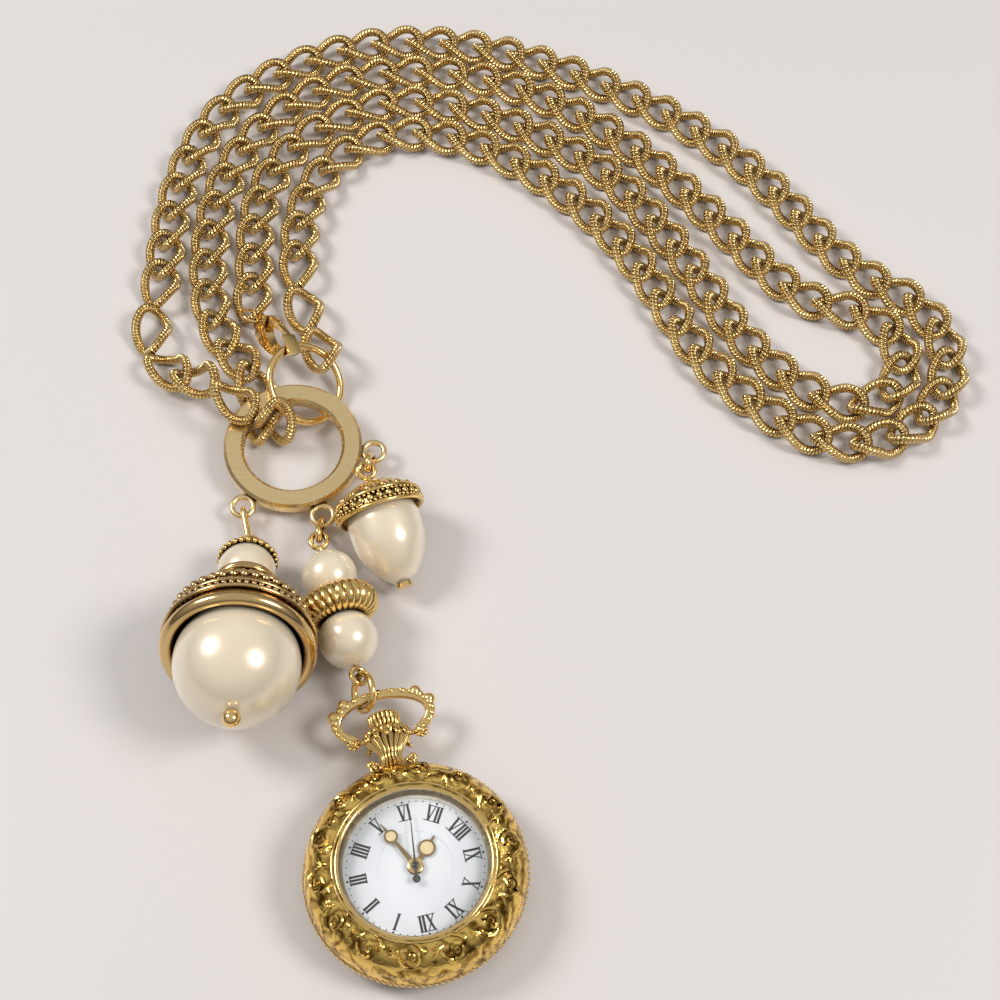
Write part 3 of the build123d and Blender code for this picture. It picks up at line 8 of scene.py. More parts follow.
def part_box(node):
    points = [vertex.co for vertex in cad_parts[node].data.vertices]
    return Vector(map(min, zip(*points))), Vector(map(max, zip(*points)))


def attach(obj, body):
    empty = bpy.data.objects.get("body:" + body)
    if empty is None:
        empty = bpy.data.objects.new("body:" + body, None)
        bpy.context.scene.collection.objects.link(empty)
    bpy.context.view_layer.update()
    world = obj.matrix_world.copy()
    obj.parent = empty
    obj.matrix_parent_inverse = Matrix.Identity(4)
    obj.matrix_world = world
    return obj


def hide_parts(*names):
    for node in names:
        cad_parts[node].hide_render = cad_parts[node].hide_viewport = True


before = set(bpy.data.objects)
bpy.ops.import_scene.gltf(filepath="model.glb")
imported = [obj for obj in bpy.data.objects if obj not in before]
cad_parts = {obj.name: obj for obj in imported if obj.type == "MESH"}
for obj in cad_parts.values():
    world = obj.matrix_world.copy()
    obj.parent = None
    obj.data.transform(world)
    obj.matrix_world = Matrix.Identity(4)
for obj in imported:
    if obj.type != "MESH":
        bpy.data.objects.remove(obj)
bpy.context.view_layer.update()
mm = 0.001
up = Vector((0, 0, 1))

# Camera: it stands over the near edge of the table and looks down at sixty degrees, with a long
# lens, as the photograph was taken.
camera_place = Vector((10.5, -72.35, 222.57)) * mm
camera_lens = 64.8
camera_sensor = 36
camera_pitch = radians(30)
camera_near = 5 * mm
bpy.ops.object.select_all(action="DESELECT")
bpy.ops.object.camera_add(location=camera_place, rotation=(camera_pitch, 0, 0))
camera = bpy.context.object
camera.data.lens = camera_lens
camera.data.sensor_width = camera_sensor
camera.data.clip_start = camera_near
bpy.context.scene.camera = camera

# Table and light: a pale lacquered table top, two soft lamps over it to the left and right, and
# a bright ceiling that darkens towards the walls of the room.
table_side = 4.0
table_drop = 0.02 * mm
table_colour = (0.735, 0.70, 0.69, 1)
lamp_reach = 0.75
lamp_side = 0.26
lamp_watts = 2.5
lamp_directions = [Vector((-0.65, 0.18, 0.74)), Vector((0.61, -0.157, 0.752))]
lamp_colour = (1.0, 0.985, 0.96)
ceiling_colour = (0.94, 0.935, 0.93, 1)
wall_colour = (0.22, 0.20, 0.18, 1)
room_light = 0.55
bpy.ops.mesh.primitive_plane_add(size=table_side, location=(0, 0, -table_drop))
table = bpy.context.object
table.name = "table_top"
lacquer = bpy.data.materials.new("pale lacquer")
lacquer.use_nodes = True
lacquer_nodes = lacquer.node_tree.nodes
lacquer_shader = lacquer_nodes["Principled BSDF"]
lacquer_shader.inputs["Roughness"].default_value = 0.32
lacquer_cloud = lacquer_nodes.new("ShaderNodeTexNoise")
lacquer_cloud.inputs["Scale"].default_value = 3.0
lacquer_ramp = lacquer_nodes.new("ShaderNodeValToRGB")
lacquer_ramp.color_ramp.elements[0].color = (0.71, 0.675, 0.665, 1)
lacquer_ramp.color_ramp.elements[1].color = table_colour
lacquer.node_tree.links.new(lacquer_cloud.outputs["Fac"], lacquer_ramp.inputs["Fac"])
lacquer.node_tree.links.new(lacquer_ramp.outputs["Color"], lacquer_shader.inputs["Base Color"])
table.data.materials.append(lacquer)
lit_spot = Vector((10, 56, 0)) * mm
for lamp_direction in lamp_directions:
    bpy.ops.object.light_add(type="AREA", location=lit_spot + lamp_direction.normalized() * lamp_reach)
    lamp = bpy.context.object
    lamp.data.shape = "DISK"
    lamp.data.size = lamp_side
    lamp.data.energy = lamp_watts
    lamp.data.color = lamp_colour
    lamp.rotation_euler = lamp_direction.to_track_quat("Z", "Y").to_euler()
world = bpy.data.worlds.new("room")
bpy.context.scene.world = world
world.use_nodes = True
world_nodes, world_links = world.node_tree.nodes, world.node_tree.links
background = world_nodes["Background"]
background.inputs["Strength"].default_value = room_light
sky_place = world_nodes.new("ShaderNodeTexCoord")
sky_parts = world_nodes.new("ShaderNodeSeparateXYZ")
sky_ramp = world_nodes.new("ShaderNodeValToRGB")
sky_ramp.color_ramp.elements[0].position = 0.12
sky_ramp.color_ramp.elements[0].color = wall_colour
sky_ramp.color_ramp.elements[1].position = 0.72
sky_ramp.color_ramp.elements[1].color = ceiling_colour
world_links.new(sky_place.outputs["Generated"], sky_parts.inputs["Vector"])
world_links.new(sky_parts.outputs["Z"], sky_ramp.inputs["Fac"])
world_links.new(sky_ramp.outputs["Color"], background.inputs["Color"])
bpy.context.scene.view_settings.view_transform = "Standard"


# Plated metal: every gold piece is cast or drawn brass with a plating, and its colour is painted darker
# in hollows and between parts as painted shade. Rings and wires are polished, and cast pieces are antique,
# with a fine grain.
def gold_finish(name, light, dark, roughness, hollow_reach, grain=0.0, grain_scale=(700, 700, 700)):
    """A plated finish whose colour is painted dark, as painted shade, where other metal stands nearer than
    hollow_reach.
    """
    finish = bpy.data.materials.new(name)
    finish.use_nodes = True
    nodes, links = finish.node_tree.nodes, finish.node_tree.links
    shader = nodes["Principled BSDF"]
    shader.inputs["Metallic"].default_value = 1.0
    place = nodes.new("ShaderNodeTexCoord")
    spread = nodes.new("ShaderNodeMapping")
    spread.inputs["Scale"].default_value = grain_scale
    links.new(place.outputs["Object"], spread.inputs["Vector"])
    cloud = nodes.new("ShaderNodeTexNoise")
    cloud.inputs["Scale"].default_value = 1.0
    cloud.inputs["Detail"].default_value = 3.0
    links.new(spread.outputs["Vector"], cloud.inputs["Vector"])
    # Painted shade: the colour turns towards the dark tone where other metal stands near.
    hollow = nodes.new("ShaderNodeAmbientOcclusion")
    hollow.samples = 6
    hollow.inputs["Distance"].default_value = hollow_reach
    depth = nodes.new("ShaderNodeMapRange")
    depth.inputs["From Min"].default_value = 0.35
    depth.inputs["From Max"].default_value = 0.95
    links.new(hollow.outputs["AO"], depth.inputs["Value"])
    tone = nodes.new("ShaderNodeMix")
    tone.data_type = "RGBA"
    tone.inputs["A"].default_value = dark
    tone.inputs["B"].default_value = light
    links.new(depth.outputs["Result"], tone.inputs["Factor"])
    links.new(tone.outputs["Result"], shader.inputs["Base Color"])
    rough = nodes.new("ShaderNodeMapRange")
    rough.inputs["To Min"].default_value = roughness * 0.75
    rough.inputs["To Max"].default_value = roughness * 1.3
    links.new(cloud.outputs["Fac"], rough.inputs["Value"])
    links.new(rough.outputs["Result"], shader.inputs["Roughness"])
    if grain:
        relief = nodes.new("ShaderNodeBump")
        relief.inputs["Strength"].default_value = grain
        relief.inputs["Distance"].default_value = 0.03 * mm
        links.new(cloud.outputs["Fac"], relief.inputs["Height"])
        links.new(relief.outputs["Normal"], shader.inputs["Normal"])
    return finish


def finish_node(node, finish):
    """Gives a CAD node that stays in view its finish."""
    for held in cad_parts[node].material_slots:
        held.material = finish


gold_light = (0.95, 0.67, 0.27, 1)
gold_shade_colour = (0.16, 0.085, 0.025, 1)
antique_light = (0.95, 0.66, 0.24, 1)
antique_shade_colour = (0.10, 0.05, 0.012, 1)
antique_grain, antique_grain_scale = 0.25, (900, 900, 900)
polished_gold = gold_finish("polished gold", gold_light, gold_shade_colour, 0.14, 0.6 * mm)
antique_gold = gold_finish(
    "antique gold", antique_light, antique_shade_colour, 0.18, 0.8 * mm, antique_grain, antique_grain_scale
)

# Chain: curb links of drawn wire with a fine rib coiled round it, twisted so that each stands
# half on edge. The link is bent once and copied to the place of every link in the four strands.
link_length = 9.2 * mm
link_width = 6.2 * mm
wire_r = 0.7 * mm
link_end_lean = radians(55)
link_side_slope = radians(42)
arc_steps = 6
wire_sides = 8
ribs_round_link = 46
rib_twist = 2
link_tip = Vector((link_length / 2 - wire_r, 0, 0))
link_flank = Vector((0, link_width / 2 - wire_r, 0))
tip_dir = Vector((0, cos(link_end_lean), sin(link_end_lean)))
flank_dir = Vector((-cos(link_side_slope), 0, -sin(link_side_slope)))
link_span = link_flank - link_tip
square_term = 2 * (1 - tip_dir.dot(flank_dir))
linear_term = 2 * link_span.dot(tip_dir + flank_dir)
knee_reach = (
    sqrt(linear_term ** 2 + 4 * square_term * link_span.dot(link_span)) - linear_term
) / (2 * square_term)
tip_knee = link_tip + tip_dir * knee_reach
flank_knee = link_flank - flank_dir * knee_reach
link_shoulder = (tip_knee + flank_knee) / 2


def arc_points(start, knee, end, steps):
    """Points of the arc whose end tangents meet at the knee, without its last point."""
    weight = (end - start).length / (2 * (knee - start).length)
    points = []
    for step in range(steps):
        t = step / steps
        parts = ((1 - t) ** 2, 2 * weight * t * (1 - t), t ** 2)
        points.append((start * parts[0] + knee * parts[1] + end * parts[2]) / sum(parts))
    return points


quarter = arc_points(link_tip, tip_knee, link_shoulder, arc_steps)
quarter += arc_points(link_shoulder, flank_knee, link_flank, arc_steps)
backward = [Vector((-p.x, p.y, -p.z)) for p in reversed(quarter[1:])]
half_path = quarter + [link_flank.copy()] + backward
link_path = half_path + [Vector((-p.x, -p.y, p.z)) for p in half_path]
bpy.ops.object.select_all(action="DESELECT")
bpy.ops.mesh.primitive_torus_add(
    major_segments=len(link_path), minor_segments=wire_sides, major_radius=1, minor_radius=wire_r
)
link = bpy.context.object
for number, centre in enumerate(link_path):
    along = (link_path[(number + 1) % len(link_path)] - link_path[number - 1]).normalized()
    outward = centre - along * centre.dot(along)
    outward.normalize()
    across = along.cross(outward)
    for side in range(wire_sides):
        angle = 2 * pi * side / wire_sides
        link.data.vertices[number * wire_sides + side].co = (
            centre + outward * (wire_r * cos(angle)) + across * (wire_r * sin(angle))
        )
link.data.polygons.foreach_set("use_smooth", [True] * len(link.data.polygons))

chain_gold = bpy.data.materials.new("ribbed chain gold")
chain_gold.use_nodes = True
chain_nodes, chain_links = chain_gold.node_tree.nodes, chain_gold.node_tree.links
chain_shader = chain_nodes["Principled BSDF"]
chain_shader.inputs["Metallic"].default_value = 1.0
chain_shader.inputs["Roughness"].default_value = 0.17
wire_place = chain_nodes.new("ShaderNodeUVMap")
wire_parts = chain_nodes.new("ShaderNodeSeparateXYZ")
chain_links.new(wire_place.outputs["UV"], wire_parts.inputs["Vector"])
twist_term = chain_nodes.new("ShaderNodeMath")
twist_term.operation = "MULTIPLY"
twist_term.inputs[1].default_value = 2 * pi * rib_twist
chain_links.new(wire_parts.outputs["Y"], twist_term.inputs[0])
rib_phase = chain_nodes.new("ShaderNodeMath")
rib_phase.operation = "MULTIPLY_ADD"
rib_phase.inputs[1].default_value = 2 * pi * ribs_round_link
chain_links.new(wire_parts.outputs["X"], rib_phase.inputs[0])
chain_links.new(twist_term.outputs[0], rib_phase.inputs[2])
rib_wave = chain_nodes.new("ShaderNodeMath")
rib_wave.operation = "SINE"
chain_links.new(rib_phase.outputs[0], rib_wave.inputs[0])
rib_relief = chain_nodes.new("ShaderNodeBump")
rib_relief.inputs["Strength"].default_value = 0.9
rib_relief.inputs["Distance"].default_value = 0.11 * mm
chain_links.new(rib_wave.outputs[0], rib_relief.inputs["Height"])
chain_links.new(rib_relief.outputs["Normal"], chain_shader.inputs["Normal"])
# Painted shade: the colour is darker in the grooves between the ribs and where other links stand near.
rib_groove_shade = chain_nodes.new("ShaderNodeMapRange")
rib_groove_shade.inputs["From Min"].default_value = -1.0
rib_groove_shade.inputs["From Max"].default_value = 0.5
rib_groove_shade.inputs["To Min"].default_value = 0.5
chain_links.new(rib_wave.outputs[0], rib_groove_shade.inputs["Value"])
chain_painted_shade = chain_nodes.new("ShaderNodeAmbientOcclusion")
chain_painted_shade.samples = 6
chain_painted_shade.inputs["Distance"].default_value = 1.2 * mm
chain_shade_factor = chain_nodes.new("ShaderNodeMath")
chain_shade_factor.operation = "MULTIPLY"
chain_links.new(rib_groove_shade.outputs["Result"], chain_shade_factor.inputs[0])
chain_links.new(chain_painted_shade.outputs["AO"], chain_shade_factor.inputs[1])
chain_tone = chain_nodes.new("ShaderNodeMix")
chain_tone.data_type = "RGBA"
chain_tone.inputs["A"].default_value = (0.16, 0.07, 0.015, 1)
chain_tone.inputs["B"].default_value = (1.0, 0.72, 0.30, 1)
chain_links.new(chain_shade_factor.outputs[0], chain_tone.inputs["Factor"])
chain_links.new(chain_tone.outputs["Result"], chain_shader.inputs["Base Color"])
link.data.materials.append(chain_gold)


def link_frames(node):
    """The middle and the three main directions of every link of a strand."""
    shape = bmesh.new()
    shape.from_mesh(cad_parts[node].data)
    bmesh.ops.remove_doubles(shape, verts=shape.verts, dist=0.001 * mm)
    shape.faces.ensure_lookup_table()
    seen, frames = set(), []
    for face in shape.faces:
        if face.index in seen:
            continue
        seen.add(face.index)
        island, waiting = [], [face]
        while waiting:
            current = waiting.pop()
            island.append(current)
            for edge in current.edges:
                for other in edge.link_faces:
                    if other.index not in seen:
                        seen.add(other.index)
                        waiting.append(other)
        areas = np.array([f.calc_area() for f in island])
        middles = np.array([f.calc_center_median() for f in island])
        middle = (middles * areas[:, None]).sum(0) / areas.sum()
        arms = middles - middle
        spread = (arms * areas[:, None]).T @ arms
        _, directions = np.linalg.eigh(spread)
        along, across = Vector(directions[:, 2]), Vector(directions[:, 1])
        turn = Matrix((along, across, along.cross(across))).transposed()
        frames.append(Matrix.Translation(Vector(middle)) @ turn.to_4x4())
    shape.free()
    return frames


strand_nodes = ("chain_outer_strand", "chain_second_strand", "chain_third_strand", "chain_inner_strand")
for strand_node in strand_nodes:
    bpy.ops.object.select_all(action="DESELECT")
    for link_frame in link_frames(strand_node):
        copy = link.copy()
        copy.data = link.data.copy()
        copy.data.transform(link_frame)
        bpy.context.scene.collection.objects.link(copy)
        copy.select_set(True)
        bpy.context.view_layer.objects.active = copy
    bpy.ops.object.join()
    strand = bpy.context.object
    strand.name = strand_node.replace("chain", "ribbed")
    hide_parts(strand_node)
    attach(strand, "chain")
bpy.data.objects.remove(link)

# Carrier ring, clasp ring and wire links: a flat ring with a brushed face and polished bevels,
# three wire eyelets brazed to its edge, and bright drawn wire for the rings and charm links.
brushed_gold = gold_finish(
    "brushed gold", (0.92, 0.70, 0.36, 1), gold_shade_colour, 0.26, 0.5 * mm, 0.5, (250, 2600, 900)
)
finish_node("carrier_ring", brushed_gold)
for wire_node in ("clasp_ring", "clasp_jump_ring", "bell_link", "drop_link", "bar_link", "watch_jump_ring"):
    finish_node(wire_node, polished_gold)
for pin_node in ("bell_pin", "drop_pin", "bar_pin"):
    finish_node(pin_node, polished_gold)


# Clasp: a cast hook with a rounded back, and a thin gate that a spring in the tail holds shut.
def rounded_copy(node, name, body, edge_r):
    """A copy of a solid's mesh with its sharp edges rounded, in the solid's place."""
    bpy.ops.object.select_all(action="DESELECT")
    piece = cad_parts[node].copy()
    piece.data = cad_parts[node].data.copy()
    piece.parent = None
    for key in list(piece.keys()):
        del piece[key]
    bpy.context.scene.collection.objects.link(piece)
    piece.name = name
    piece.select_set(True)
    bpy.context.view_layer.objects.active = piece
    bpy.ops.object.mode_set(mode="EDIT")
    bpy.ops.mesh.select_all(action="SELECT")
    bpy.ops.mesh.remove_doubles(threshold=0.002 * mm)
    bpy.ops.mesh.dissolve_limited(angle_limit=radians(2))
    bpy.ops.object.mode_set(mode="OBJECT")
    soften = piece.modifiers.new("edges", "BEVEL")
    soften.width = edge_r
    soften.segments = 3
    soften.angle_limit = radians(40)
    bpy.ops.object.modifier_apply(modifier="edges")
    bpy.ops.object.shade_smooth_by_angle(angle=radians(40))
    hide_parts(node)
    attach(piece, body)
    return piece


clasp_hook = rounded_copy("clasp_body", "clasp_hook", "chain", 0.4 * mm)
clasp_gate = rounded_copy("clasp_lever", "clasp_gate_tongue", "clasp_gate", 0.15 * mm)
for clasp_piece in (clasp_hook, clasp_gate):
    clasp_piece.data.materials.clear()
    clasp_piece.data.materials.append(polished_gold)
bright_steel = gold_finish("bright steel", (0.62, 0.62, 0.63, 1), (0.2, 0.2, 0.2, 1), 0.25, 0.5 * mm)
finish_node("clasp_pin", bright_steel)

# Pearls: glass-bright pearl lacquer in many thin coats over a round bead, warm cream with a faint
# cloud in the colour, and drilled through for the pin.
pearl_lacquer = bpy.data.materials.new("pearl lacquer")
pearl_lacquer.use_nodes = True
pearl_nodes, pearl_links = pearl_lacquer.node_tree.nodes, pearl_lacquer.node_tree.links
pearl_shader = pearl_nodes["Principled BSDF"]
pearl_shader.inputs["Roughness"].default_value = 0.26
pearl_shader.inputs["Specular IOR Level"].default_value = 0.6
pearl_shader.inputs["Coat Weight"].default_value = 0.8
pearl_shader.inputs["Coat Roughness"].default_value = 0.17
pearl_shader.inputs["Metallic"].default_value = 0.22
pearl_place = pearl_nodes.new("ShaderNodeTexCoord")
pearl_cloud = pearl_nodes.new("ShaderNodeTexNoise")
pearl_cloud.inputs["Scale"].default_value = 180
pearl_cloud.inputs["Detail"].default_value = 2.0
pearl_links.new(pearl_place.outputs["Object"], pearl_cloud.inputs["Vector"])
pearl_body = pearl_nodes.new("ShaderNodeMix")
pearl_body.data_type = "RGBA"
pearl_body.inputs["A"].default_value = (0.86, 0.71, 0.50, 1)
pearl_body.inputs["B"].default_value = (0.90, 0.79, 0.62, 1)
pearl_links.new(pearl_cloud.outputs["Fac"], pearl_body.inputs["Factor"])
# Painted sheen: towards the rim, as the camera sees it, the colour turns a paler cream, leaving the middle
# warmer.
pearl_painted_sheen = pearl_nodes.new("ShaderNodeLayerWeight")
pearl_painted_sheen.inputs["Blend"].default_value = 0.35
pearl_sheen_tone = pearl_nodes.new("ShaderNodeMix")
pearl_sheen_tone.data_type = "RGBA"
pearl_sheen_tone.inputs["B"].default_value = (0.94, 0.88, 0.74, 1)
pearl_links.new(pearl_painted_sheen.outputs["Facing"], pearl_sheen_tone.inputs["Factor"])
pearl_links.new(pearl_body.outputs["Result"], pearl_sheen_tone.inputs["A"])
pearl_links.new(pearl_sheen_tone.outputs["Result"], pearl_shader.inputs["Base Color"])
for pearl_node in ("bell_bead", "bell_pearl", "drop_pearl", "bar_upper_pearl", "bar_lower_pearl"):
    finish_node(pearl_node, pearl_lacquer)


# Bell charm: a cast bell with a bright collar, sixteen open ovals with raised rims, a row of
# beads between two fine rings, and a wide polished lip round the large pearl.
def box_middle(node):
    """The middle of a node's box at rest."""
    low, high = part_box(node)
    return (low + high) / 2


def line_frame(start, end):
    """A frame at start whose Z runs towards end and whose X is level."""
    along = (end - start).normalized()
    level = along.cross(up).normalized()
    turn = Matrix((level, along.cross(level), along)).transposed()
    return Matrix.Translation(start) @ turn.to_4x4()


def settle(piece, place, body, finish, replaced=()):
    """Puts a finished piece in its place, with its material, on its body."""
    bpy.ops.object.select_all(action="DESELECT")
    piece.select_set(True)
    bpy.context.view_layer.objects.active = piece
    piece.data.transform(place @ piece.matrix_basis)
    piece.matrix_basis = Matrix.Identity(4)
    piece.data.materials.clear()
    piece.data.materials.append(finish)
    bpy.ops.object.shade_smooth_by_angle(angle=radians(42))
    if replaced:
        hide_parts(*replaced)
    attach(piece, body)


def turned_piece(name, rings, segments):
    """A shell turned on a lathe: a circle is extruded along Z from ring to ring, each given as
    its height and radius in millimetres."""
    rings = [(height * mm, radius * mm) for height, radius in rings]
    bpy.ops.object.select_all(action="DESELECT")
    bpy.ops.mesh.primitive_circle_add(vertices=segments, radius=rings[0][1], location=(0, 0, rings[0][0]))
    piece = bpy.context.object
    piece.name = name
    bpy.ops.object.transform_apply(location=True)
    bpy.ops.object.mode_set(mode="EDIT")
    bpy.ops.mesh.select_all(action="SELECT")
    for (height, radius), (next_height, next_radius) in zip(rings, rings[1:]):
        bpy.ops.mesh.extrude_region_move(
            TRANSFORM_OT_translate={"value": (0, 0, next_height - height)}
        )
        share = next_radius / radius
        bpy.ops.transform.resize(value=(share, share, 1), center_override=(0, 0, next_height))
    bpy.ops.mesh.select_all(action="SELECT")
    bpy.ops.mesh.normals_make_consistent(inside=False)
    bpy.ops.object.mode_set(mode="OBJECT")
    return piece


def wire_ring(radius, wire, height, segments=96):
    """A level ring of round wire, with its sizes in millimetres."""
    bpy.ops.object.select_all(action="DESELECT")
    bpy.ops.mesh.primitive_torus_add(
        major_radius=radius * mm, minor_radius=wire * mm, major_segments=segments,
        minor_segments=10, location=(0, 0, height * mm),
    )
    return bpy.context.object


def bead_row(count, radius, bead_radius, height, flatten=1.0):
    """A level ring of cast beads, with its sizes in millimetres."""
    reach, level = radius * mm, height * mm
    bpy.ops.object.select_all(action="DESELECT")
    bpy.ops.mesh.primitive_uv_sphere_add(segments=10, ring_count=6, radius=bead_radius * mm)
    bead = bpy.context.object
    row = []
    for number in range(count):
        angle = 2 * pi * number / count
        place = Matrix.Translation((reach * cos(angle), reach * sin(angle), level))
        turned = place @ Matrix.Rotation(angle, 4, "Z") @ Matrix.Diagonal((flatten, 1, 1, 1))
        copy = bead.copy()
        copy.data = bead.data.copy()
        copy.data.transform(turned)
        bpy.context.scene.collection.objects.link(copy)
        row.append(copy)
    bpy.data.objects.remove(bead)
    return row


def joined(name, pieces):
    """Several meshes as one piece with a name."""
    bpy.ops.object.select_all(action="DESELECT")
    for piece in pieces:
        piece.select_set(True)
    bpy.context.view_layer.objects.active = pieces[0]
    bpy.ops.object.transform_apply(location=True, rotation=True, scale=True)
    if len(pieces) > 1:
        bpy.ops.object.join()
    piece = bpy.context.object
    piece.name = name
    return piece


bell_start, bell_end = box_middle("bell_bead"), box_middle("bell_pearl")
bell_place = line_frame(bell_start, bell_end)
bell_cast_gold = gold_finish("cast bell gold", (0.74, 0.52, 0.24, 1), gold_shade_colour, 0.17, 0.9 * mm)
finish_node("bell_cap", bell_cast_gold)
bell_rings = [
    (4.15, 0.5, 3.35), (4.75, 0.28, 4.3), (8.0, 0.3, 9.1), (9.45, 0.3, 12.2), (10.0, 0.28, 13.9, 128),
]
bell_bead_rows = [(40, 8.95, 0.62, 10.6), (64, 9.75, 0.38, 13.1)]
bell_trim = [wire_ring(*ring) for ring in bell_rings]
for row in bell_bead_rows:
    bell_trim += bead_row(*row)
windows = 16
window_rim_r, window_wire_r = 1.0 * mm, 0.21 * mm
window_length_share, window_width_share = 1.28, 0.82
window_height, window_reach = 6.6 * mm, 6.05 * mm
window_slope = radians(40)
for window in range(windows):
    bpy.ops.mesh.primitive_torus_add(
        major_radius=window_rim_r, minor_radius=window_wire_r, major_segments=24, minor_segments=6
    )
    rim = bpy.context.object
    for corner in rim.data.vertices:
        corner.co.x *= window_length_share
        corner.co.y *= window_width_share
    angle = 2 * pi * window / windows
    place = Matrix.Rotation(angle, 4, "Z") @ Matrix.Translation((window_reach, 0, window_height))
    rim.data.transform(place @ Matrix.Rotation(window_slope - pi / 2, 4, "Y"))
    bell_trim.append(rim)
settle(joined("bell_trim", bell_trim), bell_place, "bell", bell_cast_gold)
# Painted shadow: a very dark shell inside the bell stands for the shade within it, seen through the open
# ovals.
shadow_light, shadow_dark = (0.05, 0.028, 0.012, 1), (0.02, 0.01, 0.005, 1)
painted_shadow_finish = gold_finish("dark hollow", shadow_light, shadow_dark, 0.45, 1.0 * mm)
shadow_shell_rings = [(3.3, 3.0), (4.4, 3.35), (7.1, 5.2), (9.4, 7.0)]
bell_shadow_shell = turned_piece("bell_shadow_shell", shadow_shell_rings, 64)
settle(bell_shadow_shell, bell_place, "bell", painted_shadow_finish)

# Cap of the bell's bead: a small cast dome with a scalloped wall and three rows of beads. It is
# threaded on the bell's pin and sits on the bead.
bead_cap_rings = [
    (-4.55, 0.55), (-4.5, 1.2), (-4.15, 2.2), (-3.5, 3.1), (-2.75, 3.72), (-2.2, 4.0), (-2.1, 3.75),
]
bead_cap_rows = [(26, 3.85, 0.42, -2.3), (18, 3.1, 0.4, -3.3), (9, 2.0, 0.42, -4.1)]
scallops, scallop_depth_share, scallop_reach = 9, 0.05, 3 * mm
bead_cap = turned_piece("bead_cap", bead_cap_rings, 72)
for corner in bead_cap.data.vertices:
    angle = atan2(corner.co.y, corner.co.x)
    reach = sqrt(corner.co.x ** 2 + corner.co.y ** 2)
    swell = 1 + scallop_depth_share * min(reach / scallop_reach, 1) * cos(scallops * angle)
    corner.co.x *= swell
    corner.co.y *= swell
bead_cap_parts = [bead_cap]
for row in bead_cap_rows:
    bead_cap_parts += bead_row(*row)
settle(joined("bead_cap", bead_cap_parts), bell_place, "bell", antique_gold, ("bell_bead_cap",))

# Drop charm: a cast dome with fourteen low lobes, two wire rings and four rows of beads, which is
# threaded on the pin and covers the top of a long pearl.
drop_heading, drop_fall = radians(-70.5), radians(14)
drop_run = Vector((cos(drop_heading) * cos(drop_fall), sin(drop_heading) * cos(drop_fall), -sin(drop_fall)))
drop_loop = Vector((-8.1, 56.5, 7.54)) * mm
drop_place = line_frame(drop_loop, drop_loop + drop_run)
drop_dome_rings = [
    (2.0, 0.5), (2.02, 1.2), (2.3, 2.6), (2.95, 4.0), (3.8, 5.0), (4.7, 5.6), (5.5, 5.85), (6.4, 5.95),
    (6.5, 5.6), (6.3, 5.45), (5.0, 5.1),
]
drop_rings = [(5.85, 0.28, 4.55), (6.0, 0.3, 6.45)]
drop_bead_rows = [
    (28, 5.95, 0.52, 5.5, 0.7), (56, 6.15, 0.24, 6.1), (56, 6.05, 0.24, 4.95), (14, 5.2, 0.5, 4.0, 0.6),
]
lobed_height, lobe_reach = 4.8 * mm, 4 * mm
drop_dome = turned_piece("drop_dome", drop_dome_rings, 144)
for corner in drop_dome.data.vertices:
    angle = atan2(corner.co.y, corner.co.x)
    reach = sqrt(corner.co.x ** 2 + corner.co.y ** 2)
    if corner.co.z < lobed_height:
        swell = 1 + 0.055 * min(reach / lobe_reach, 1) * (abs(cos(7 * angle)) - 0.6)
        swell += 0.02 * cos(42 * angle) * min(reach / lobe_reach, 1)
        corner.co.x *= swell
        corner.co.y *= swell
drop_parts = [drop_dome] + [wire_ring(*ring) for ring in drop_rings]
for row in drop_bead_rows:
    drop_parts += bead_row(*row)
settle(joined("drop_dome", drop_parts), drop_place, "drop", antique_gold, ("drop_cap",))

# Bar charm: a brass rondelle cast with rounded ribs, threaded on a pin between two pearls. Its
# ribs lean a little to one side.
rondelle_r, rondelle_band_r = 5.5 * mm, 2.1 * mm
rondelle_ribs = 28
bar_start, bar_end = box_middle("bar_upper_pearl"), box_middle("bar_lower_pearl")
bar_centre = (bar_start * 4.0 + bar_end * 3.8) / 7.8
bar_place = line_frame(bar_centre, bar_centre + (bar_end - bar_start))
bpy.ops.object.select_all(action="DESELECT")
bpy.ops.mesh.primitive_torus_add(
    major_radius=rondelle_r - rondelle_band_r, minor_radius=rondelle_band_r,
    major_segments=rondelle_ribs * 8, minor_segments=20,
)
rondelle = bpy.context.object
for corner in rondelle.data.vertices:
    angle = atan2(corner.co.y, corner.co.x)
    core = Vector((cos(angle), sin(angle), 0)) * (rondelle_r - rondelle_band_r)
    lean = corner.co.z / rondelle_band_r * 0.09
    depth = abs(sin((angle + lean) * rondelle_ribs / 2))
    corner.co = core + (corner.co - core) * (0.84 + 0.17 * sqrt(depth))
settle(joined("ribbed_rondelle", [rondelle]), bar_place, "bar", antique_gold, ("bar_rondelle",))

# Watch directions: the line from the dial's centre to the crown leans thirteen degrees to the
# left of straight away, and every piece of the case is placed on it.
watch_turn = radians(13)
side_dir = Vector((cos(watch_turn), sin(watch_turn), 0))
pendant_dir = Vector((-sin(watch_turn), cos(watch_turn), 0))
watch_place = Matrix((side_dir, pendant_dir, up)).transposed().to_4x4()

# Neck: a cast fluted cup that flares from a narrow waist, with a collar of leaves round its
# crest and a scroll at each side of its foot. It is screwed to the case and holds the stem.
pendant_height = 4.2 * mm
pendant_place = Matrix((side_dir, -up, pendant_dir)).transposed().to_4x4()
pendant_place.translation = up * pendant_height
neck_rings = [
    (13.9, 0.001), (13.9, 1.95), (14.5, 1.7), (15.2, 1.45), (15.9, 1.45), (16.6, 1.75), (17.3, 2.3),
    (17.9, 2.85), (18.5, 3.15), (18.9, 3.2), (19.2, 3.0), (19.3, 2.4), (19.3, 0.001),
]
neck_flutes = 18
flute_depth_share = 0.16


